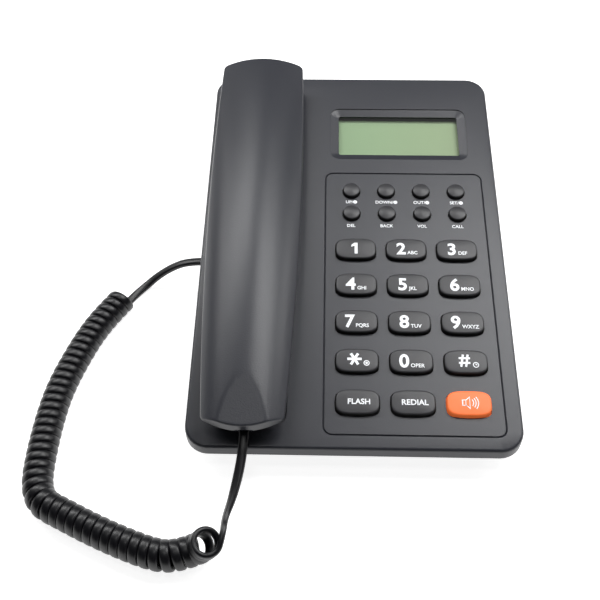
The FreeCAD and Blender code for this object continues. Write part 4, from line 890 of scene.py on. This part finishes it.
# %% Key caps
KEY_X, KEY_PITCH_X, KEY_Y, KEY_PITCH_Y = 26.7, 24.9, -6.6, 20.8
ROUND_X, ROUND_PITCH, ROUND_ROWS = 26.8, 17.9, (30.5, 16.1)
DIAL = [["1", "2", "3"], ["4", "5", "6"], ["7", "8", "9"], ["star", "0", "hash"],
        ["flash", "redial", "speaker"]]
ROUND = [["up", "down", "out", "set"], ["delete", "back", "volume", "call"]]
DIAL_PLACES = {name: (KEY_X + (i - 1) * KEY_PITCH_X, KEY_Y - row * KEY_PITCH_Y)
               for row, names in enumerate(DIAL) for i, name in enumerate(names)}
ROUND_PLACES = {name: (ROUND_X + (i - 1.5) * ROUND_PITCH, ROUND_ROWS[row])
                for row, names in enumerate(ROUND) for i, name in enumerate(names)}
KEY_PLACES = {**DIAL_PLACES, **ROUND_PLACES}


def add_key(name, x, y, shape, material):
    """A cap at a place of the deck, closed at the crown's top, with its share of wall as an attribute."""
    skin, wall = key_skin(*shape)
    proud, crown = shape[3:5]
    vertices, faces = capped(skin + [x, y, 0])
    vertices[-1, 2] = proud + crown
    key = add_piece("cap_" + name, deck(vertices), faces, material, "key_" + name, ("key_" + name,))
    # The wall attribute carries painted shade: the material darkens each point by its share of wall.
    shade = np.concatenate([np.repeat(wall, AROUND_STEPS), [1.0, 0.0]])
    values = key.data.attributes.new("wall", "FLOAT", "POINT")
    values.data.foreach_set("value", shade[:len(key.data.vertices)])


for name, (x, y) in KEY_PLACES.items():
    shape = DIAL_SHAPE if name in DIAL_PLACES else ROUND_SHAPE
    if name == "speaker":
        add_key(name, x, y, shape, ORANGE)
    else:
        add_key(name, x, y, shape, KEY)
print("keys", len(KEY_PLACES))

# %% [markdown]
# ## Membrane
# Under the keys lies one rubber sheet with a dome for each key, which springs the key back. Sheet and
# domes could be one mesh, but each dome has to squash under its own key, so each is a piece of its own
# that stands on the sheet. The sheet is an outline with round corners, carried straight up.

# %% Rubber sheet
SHEET_LEFT, SHEET_RIGHT, SHEET_FRONT, SHEET_REAR = -11.0, 63.0, -96.5, 38.0
SHEET_CORNER, SHEET_CORNER_STEPS = 2.0, 6
SHEET_BOTTOM, SHEET_TOP = -8.0, -7.0


def rounded_plan():
    """A rectangle's outline with quarter circles at its corners: corner centre + r (cos a, sin a)."""
    quarters = np.add.outer(np.arange(4), np.linspace(0, 1, SHEET_CORNER_STEPS)) * math.pi / 2
    left, right = SHEET_LEFT + SHEET_CORNER, SHEET_RIGHT - SHEET_CORNER
    front, rear = SHEET_FRONT + SHEET_CORNER, SHEET_REAR - SHEET_CORNER
    centres = np.array([(right, rear), (left, rear), (left, front), (right, front)])
    arcs = SHEET_CORNER * np.stack([np.cos(quarters), np.sin(quarters)], -1)
    return (centres[:, None] + arcs).reshape(-1, 2)


plan = rounded_plan()
sheet_rings = np.array([np.c_[plan, np.full(len(plan), n)] for n in (SHEET_BOTTOM, SHEET_TOP)])
vertices, faces = capped(sheet_rings)
add_piece("membrane_sheet", deck(vertices), faces, MEMBRANE, "base", ("keypad_membrane",))
print("sheet", SHEET_RIGHT - SHEET_LEFT, "by", SHEET_REAR - SHEET_FRONT, "mm")

# %% Domes
DOME_TOP, DOME_BASE, DOME_TIP, DOME_STEPS = -4.0, 3.5, 2.0, 32

around = np.linspace(0, 2 * math.pi, DOME_STEPS, endpoint=False)
ring = np.stack([np.cos(around), np.sin(around), 0 * around], -1)
dome_rings = np.array([ring * DOME_BASE + [0, 0, SHEET_TOP], ring * DOME_TIP + [0, 0, DOME_TOP]])
for name, (x, y) in KEY_PLACES.items():
    vertices, faces = capped(dome_rings + [x, y, 0])
    dome = add_piece("dome_" + name, deck(vertices), faces, MEMBRANE, "base", ())
    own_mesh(dome)
print("domes", len(KEY_PLACES))

# %% [markdown]
# ## Print
# Print on a key is a thin film of ink. It could be a picture on the cap, but a mesh stays sharp from near
# by. Words come from Blender's own text objects, and signs from a few strokes. Both are thin plates,
# drawn round the middle of their key.

# %% Words and strokes
PRINT_THICKNESS = 0.05
BOW_STEPS, LETTER_STEPS = 24, 4


def text_shape(words, size, x, y, align="LEFT", weight=0.0):
    """Points and faces of raised words, in mm, with their left end or middle at x and foot at y."""
    curve = bpy.data.curves.new("words", "FONT")
    curve.body = words
    curve.size = size
    curve.align_x = align
    curve.offset = weight
    curve.extrude = PRINT_THICKNESS / 2
    curve.resolution_u = LETTER_STEPS
    places, faces = sampled(curve)
    return places + [x, y, 0], faces


def plate(outline):
    """A thin plate over a plan outline: the outline below and above its middle, and a rim between."""
    outline = np.asarray(outline, float)
    count = len(outline)
    half = np.full(count, PRINT_THICKNESS / 2)
    low = np.arange(count)
    ahead = np.roll(low, -1)
    rim = np.stack([low, ahead, ahead + count, low + count], -1)
    faces = [low[::-1].tolist(), (low + count).tolist()] + rim.tolist()
    return np.concatenate([np.c_[outline, -half], np.c_[outline, half]]), faces


def bar(x, y, length, width, angle):
    """A straight stroke: a rectangle turned by an angle in degrees and centred at a point."""
    a = math.radians(angle)
    corners = np.array([(-length, -width), (length, -width), (length, width), (-length, width)]) / 2
    turned = corners @ np.array([[math.cos(a), math.sin(a)], [-math.sin(a), math.cos(a)]])
    return plate(turned + [x, y])


def bow(x, y, inner, outer, start, end):
    """A stroke along an arc, out along the outer radius and back along the inner, in degrees."""
    a = np.radians(np.linspace(start, end, BOW_STEPS))
    way = np.stack([np.cos(a), np.sin(a)], -1)
    return plate(np.concatenate([outer * way, inner * way[::-1]]) + [x, y])


def ring_shapes(x, y, inner, outer):
    """A ring, as two bows of half a turn."""
    return [bow(x, y, inner, outer, 0, 180), bow(x, y, inner, outer, 180, 360)]


print("a stroke has", len(bar(0, 0, 4, 1, 0)[1]), "faces")

# %% [markdown]
# A flat word would sink into a crowned key. A Shrinkwrap modifier could lay it on, but the crown's height
# is known by formula. So the plates are cut into short edges, and each point is lifted by the crown below
# it.

# %% Print on a crown
PRINT_EDGE, PRINT_CUTS = 1.0, 4


def joined(shapes):
    """Many shapes as one: points end to end, and face indices raised by the points before them."""
    faces, start = [], 0
    for places, shape_faces in shapes:
        faces += [(np.array(face) + start).tolist() for face in shape_faces]
        start += len(places)
    return np.concatenate([places for places, _ in shapes]), faces


def refined(vertices, faces):
    """The same shapes in triangles: edges longer than PRINT_EDGE are halved, a few times over."""
    mesh = bpy.data.meshes.new("refined")
    mesh.from_pydata(vertices.tolist(), [], faces)
    work = bmesh.new()
    work.from_mesh(mesh)
    for _ in range(PRINT_CUTS):
        bmesh.ops.triangulate(work, faces=work.faces)
        long_edges = [edge for edge in work.edges if edge.calc_length() > PRINT_EDGE]
        bmesh.ops.subdivide_edges(work, edges=long_edges, cuts=1)
    bmesh.ops.triangulate(work, faces=work.faces)
    work.to_mesh(mesh)
    work.free()
    return taken(mesh)


def add_print(name, shapes, centre, body, shape=None):
    """Print on a key's crown, or on the bare deck, standing out by its own thickness."""
    vertices, faces = joined(shapes)
    if shape:
        vertices, faces = refined(vertices, faces)
    top = crown_height(vertices[:, 0], vertices[:, 1], *shape) if shape else 0.0
    vertices = vertices + [centre[0], centre[1], 0.0]
    vertices[:, 2] += top + PRINT_THICKNESS / 2
    return add_piece(name, deck(vertices), faces, PRINT, body)


print("crown at the middle of a dial key", crown_height(0.0, 0.0, *DIAL_SHAPE), "mm")

# %% Digits and letters
LETTERS = {"2": "ABC", "3": "DEF", "4": "GHI", "5": "JKL", "6": "MNO",
           "7": "PQRS", "8": "TUV", "9": "WXYZ", "0": "OPER"}
FOOT = -3.4
DIGIT_SIZE, DIGIT_WEIGHT = 9.3, 0.26
LETTER_SIZE, LETTER_WEIGHT = 2.6, 0.06
# Places beside three letters, and beside four.
DIGIT_X, LETTER_X = (-2.6, -3.4), (0.4, -0.5)
ONE_X, ONE_HEIGHT, ONE_STROKE = 0.1, 6.4, 1.5
ONE_FLAG = np.array([(-0.65, 6.4), (-2.2, 5.1), (-2.2, 3.9), (-0.65, 4.7)])

for digit in "0123456789":
    if digit in LETTERS:
        wide = len(LETTERS[digit]) > 3
        shapes = [text_shape(digit, DIGIT_SIZE, DIGIT_X[wide], FOOT, "CENTER", DIGIT_WEIGHT),
                  text_shape(LETTERS[digit], LETTER_SIZE, LETTER_X[wide], FOOT, "LEFT", LETTER_WEIGHT)]
    else:
        stem = bar(ONE_X, FOOT + ONE_HEIGHT / 2, ONE_HEIGHT, ONE_STROKE, 90)
        shapes = [stem, plate(ONE_FLAG + [0, FOOT])]
    add_print("legend_" + digit, shapes, DIAL_PLACES[digit], "key_" + digit, DIAL_SHAPE)
print("digits with letters", len(LETTERS))

# %% Signs and words on the other dial keys
WORD_SIZE, WORD_X, WORD_Y, WORD_WEIGHT = 3.7, 0.6, -1.4, 0.09

star = [bar(-1.2, 0.4, 6.6, 1.25, a) for a in (0, 60, 120)]
star += ring_shapes(4.3, -1.6, 0.95, 1.4) + [bow(4.3, -1.6, 0.0, 0.6, 0, 360)]
hash_sign = [bar(x, 0.3, 6.4, 1.0, 80) for x in (-1.9, 0.3)]
hash_sign += [bar(-0.8, y, 5.2, 1.0, 0) for y in (1.5, -0.9)]
hash_sign += ring_shapes(4.3, -1.8, 1.0, 1.4)
hash_sign += [bar(4.3, -1.5, 0.9, 0.35, 90), bar(4.6, -1.8, 0.8, 0.35, 0)]
legends = {"star": star, "hash": hash_sign}
for name in ("flash", "redial"):
    legends[name] = [text_shape(name.upper(), WORD_SIZE, WORD_X, WORD_Y, "CENTER", WORD_WEIGHT)]
for name, shapes in legends.items():
    add_print("legend_" + name, shapes, DIAL_PLACES[name], "key_" + name, DIAL_SHAPE)
print("signs and words", list(legends))

# %% [markdown]
# The loudspeaker sign is a horn drawn as a line, with three waves before it. The line could be a bevelled
# curve, but a smaller copy of the horn inside the first gives its inner edge at once.

# %% Loudspeaker sign
WAVE_INNER, WAVE_WIDTH, WAVE_SPAN = (2.3, 3.4, 4.5), 0.4, 38
INSIDE_SCALE, INSIDE_SHIFT = (0.78, 0.74), (0.22, 0.0)

horn = np.array([(-3.4, -1.5), (-1.6, -1.5), (0.2, -3.2), (0.2, 3.2), (-1.6, 1.5), (-3.4, 1.5)])
inside = horn * INSIDE_SCALE - INSIDE_SHIFT
sides = np.stack([horn, np.roll(horn, -1, 0), np.roll(inside, -1, 0), inside], 1)
sign = [plate(side) for side in sides] + [bar(-1.7, 0.0, 2.4, 0.3, 90)]
sign += [bow(-0.8, 0.0, r, r + WAVE_WIDTH, -WAVE_SPAN, WAVE_SPAN) for r in WAVE_INNER]
add_print("legend_speaker", sign, DIAL_PLACES["speaker"], "key_speaker", DIAL_SHAPE)
print("strokes of the sign", len(sign))

# %% [markdown]
# The small round keys are too small for words, so each has its word on the deck below it. Four of the
# words end in a stroke and a dot.

# %% Labels on the deck
LABELS = {"up": "UP/", "down": "DOWN/", "out": "OUT/", "set": "SET/",
          "delete": "DEL", "back": "BACK", "volume": "VOL", "call": "CALL"}
LABEL_SIZE, LABEL_WEIGHT = 2.5, 0.04
# Places of a plain label, and of one with a dot.
LABEL_X, LABEL_Y = (-0.3, -1.1), (-8.2, -7.6)
DOT_RADIUS, DOT_Y = 1.05, -6.75

for name, label in LABELS.items():
    dotted = label.endswith("/")
    shapes = [text_shape(label, LABEL_SIZE, LABEL_X[dotted], LABEL_Y[dotted], "CENTER", LABEL_WEIGHT)]
    if dotted:
        right = shapes[0][0][:, 0].max()
        shapes.append(bow(right + DOT_RADIUS, DOT_Y, 0.0, DOT_RADIUS, 0, 360))
    add_print("label_" + name, shapes, ROUND_PLACES[name], "base")
print("labels", len(LABELS))

# %% [markdown]
# ## The CAD pieces that stay
# Housings, screws, jacks and the insides are right as the CAD part has them. They could be drawn again,
# but a second shape would only drift from the first. They come as loose triangles that already face
# outward, so a copy is merged, shaded smooth with its creases kept, and given its finish.

# %% Finishes of the CAD pieces
FINISHES = {
    "top_housing": (HOUSING, "housing_plastic"),
    "bottom_housing": (PAN, "housing_plastic"),
    "handset_inner_shell": (HANDSET, "handset_plastic"),
    "battery_door": (HOUSING, "housing_plastic"),
    "rubber_feet": (RUBBER, "rubber"),
    "display_lens": (LENS, "lens"),
    "lcd_glass": (LCD, "lcd"),
    "lcd_backing": (JACK, "jack_plastic"),
    "base_plug": (PLUG, "plug_clear"),
    "handset_plug": (PLUG, "plug_clear"),
    "base_jack": (JACK, "jack_plastic"),
    "handset_jack": (JACK, "jack_plastic"),
    "line_jack": (JACK, "jack_plastic"),
    "hook_plunger": (KEY, "key_plastic"),
    "hook_switch": (COMPONENT, "component"),
    "hook_spring": (STEEL, "steel"),
    "main_board": (BOARD, "board"),
    "board_components": (COMPONENT, "component"),
    "board_screws": (STEEL, "steel"),
    "housing_screws": (STEEL, "steel"),
    "handset_screws": (STEEL, "steel"),
    "handset_weight": (STEEL, "steel"),
    "batteries": (CELL, "cell"),
    "battery_contacts": (STEEL, "contact"),
    "loudspeaker_cone": (PAPER, "cone"),
    "loudspeaker_basket": (STEEL, "steel"),
    "loudspeaker_magnet": (MAGNET, "magnet"),
    "handsfree_microphone": (MAGNET, "capsule"),
    "microphone_capsule": (MAGNET, "capsule"),
    "microphone_boot": (RUBBER, "rubber"),
    "receiver_capsule": (MAGNET, "capsule"),
}
print("finishes for", len(FINISHES), "nodes")

# %% Smooth copies
BODY_OF = {node: body for body, nodes in frame["record"]["behaviour"]["bodies"].items() for node in nodes}
CAD_CREASE, DECK_CREASE = 30.0, 11.0


def smooth_copy(node, material, slot):
    """A merged copy of a CAD node that stands for it. The deck's shallow edges crease at a lower angle."""
    mesh = frame["nodes"][node].data.copy()
    mesh.name = node + " smooth"
    mesh.materials.clear()
    mesh.materials.append(material)
    if "custom_normal" in mesh.attributes:
        mesh.attributes.remove(mesh.attributes["custom_normal"])
    finish_mesh(mesh, DECK_CREASE if node == "top_housing" else CAD_CREASE, turn=False)
    piece = bpy.data.objects.new(node + "_smooth", mesh)
    scene.collection.objects.link(piece)
    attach(piece, BODY_OF[node])
    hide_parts(node)
    return piece


copies = {node: smooth_copy(node, *finish) for node, finish in FINISHES.items()}
for name, node in frame["nodes"].items():
    node.data.materials.clear()
    node.data.materials.append(JACKET if "cord" in name or "lead" in name else KEY)
print("smooth copies", len(copies), "of", len(frame["nodes"]))

# %% [markdown]
# ## The cord's facts
# A cord is soft, so where it starts, how long it is and how it lies matter to whoever uses the part.
# These facts could be measured from the mesh, but the line that the jacket was carried along has its
# lengths exactly, and they are printed here.

# %% The cord's facts
print("cord declared,", round(lengths(curled_line)[-1]), "and", round(lengths(lead_line)[-1]), "mm")
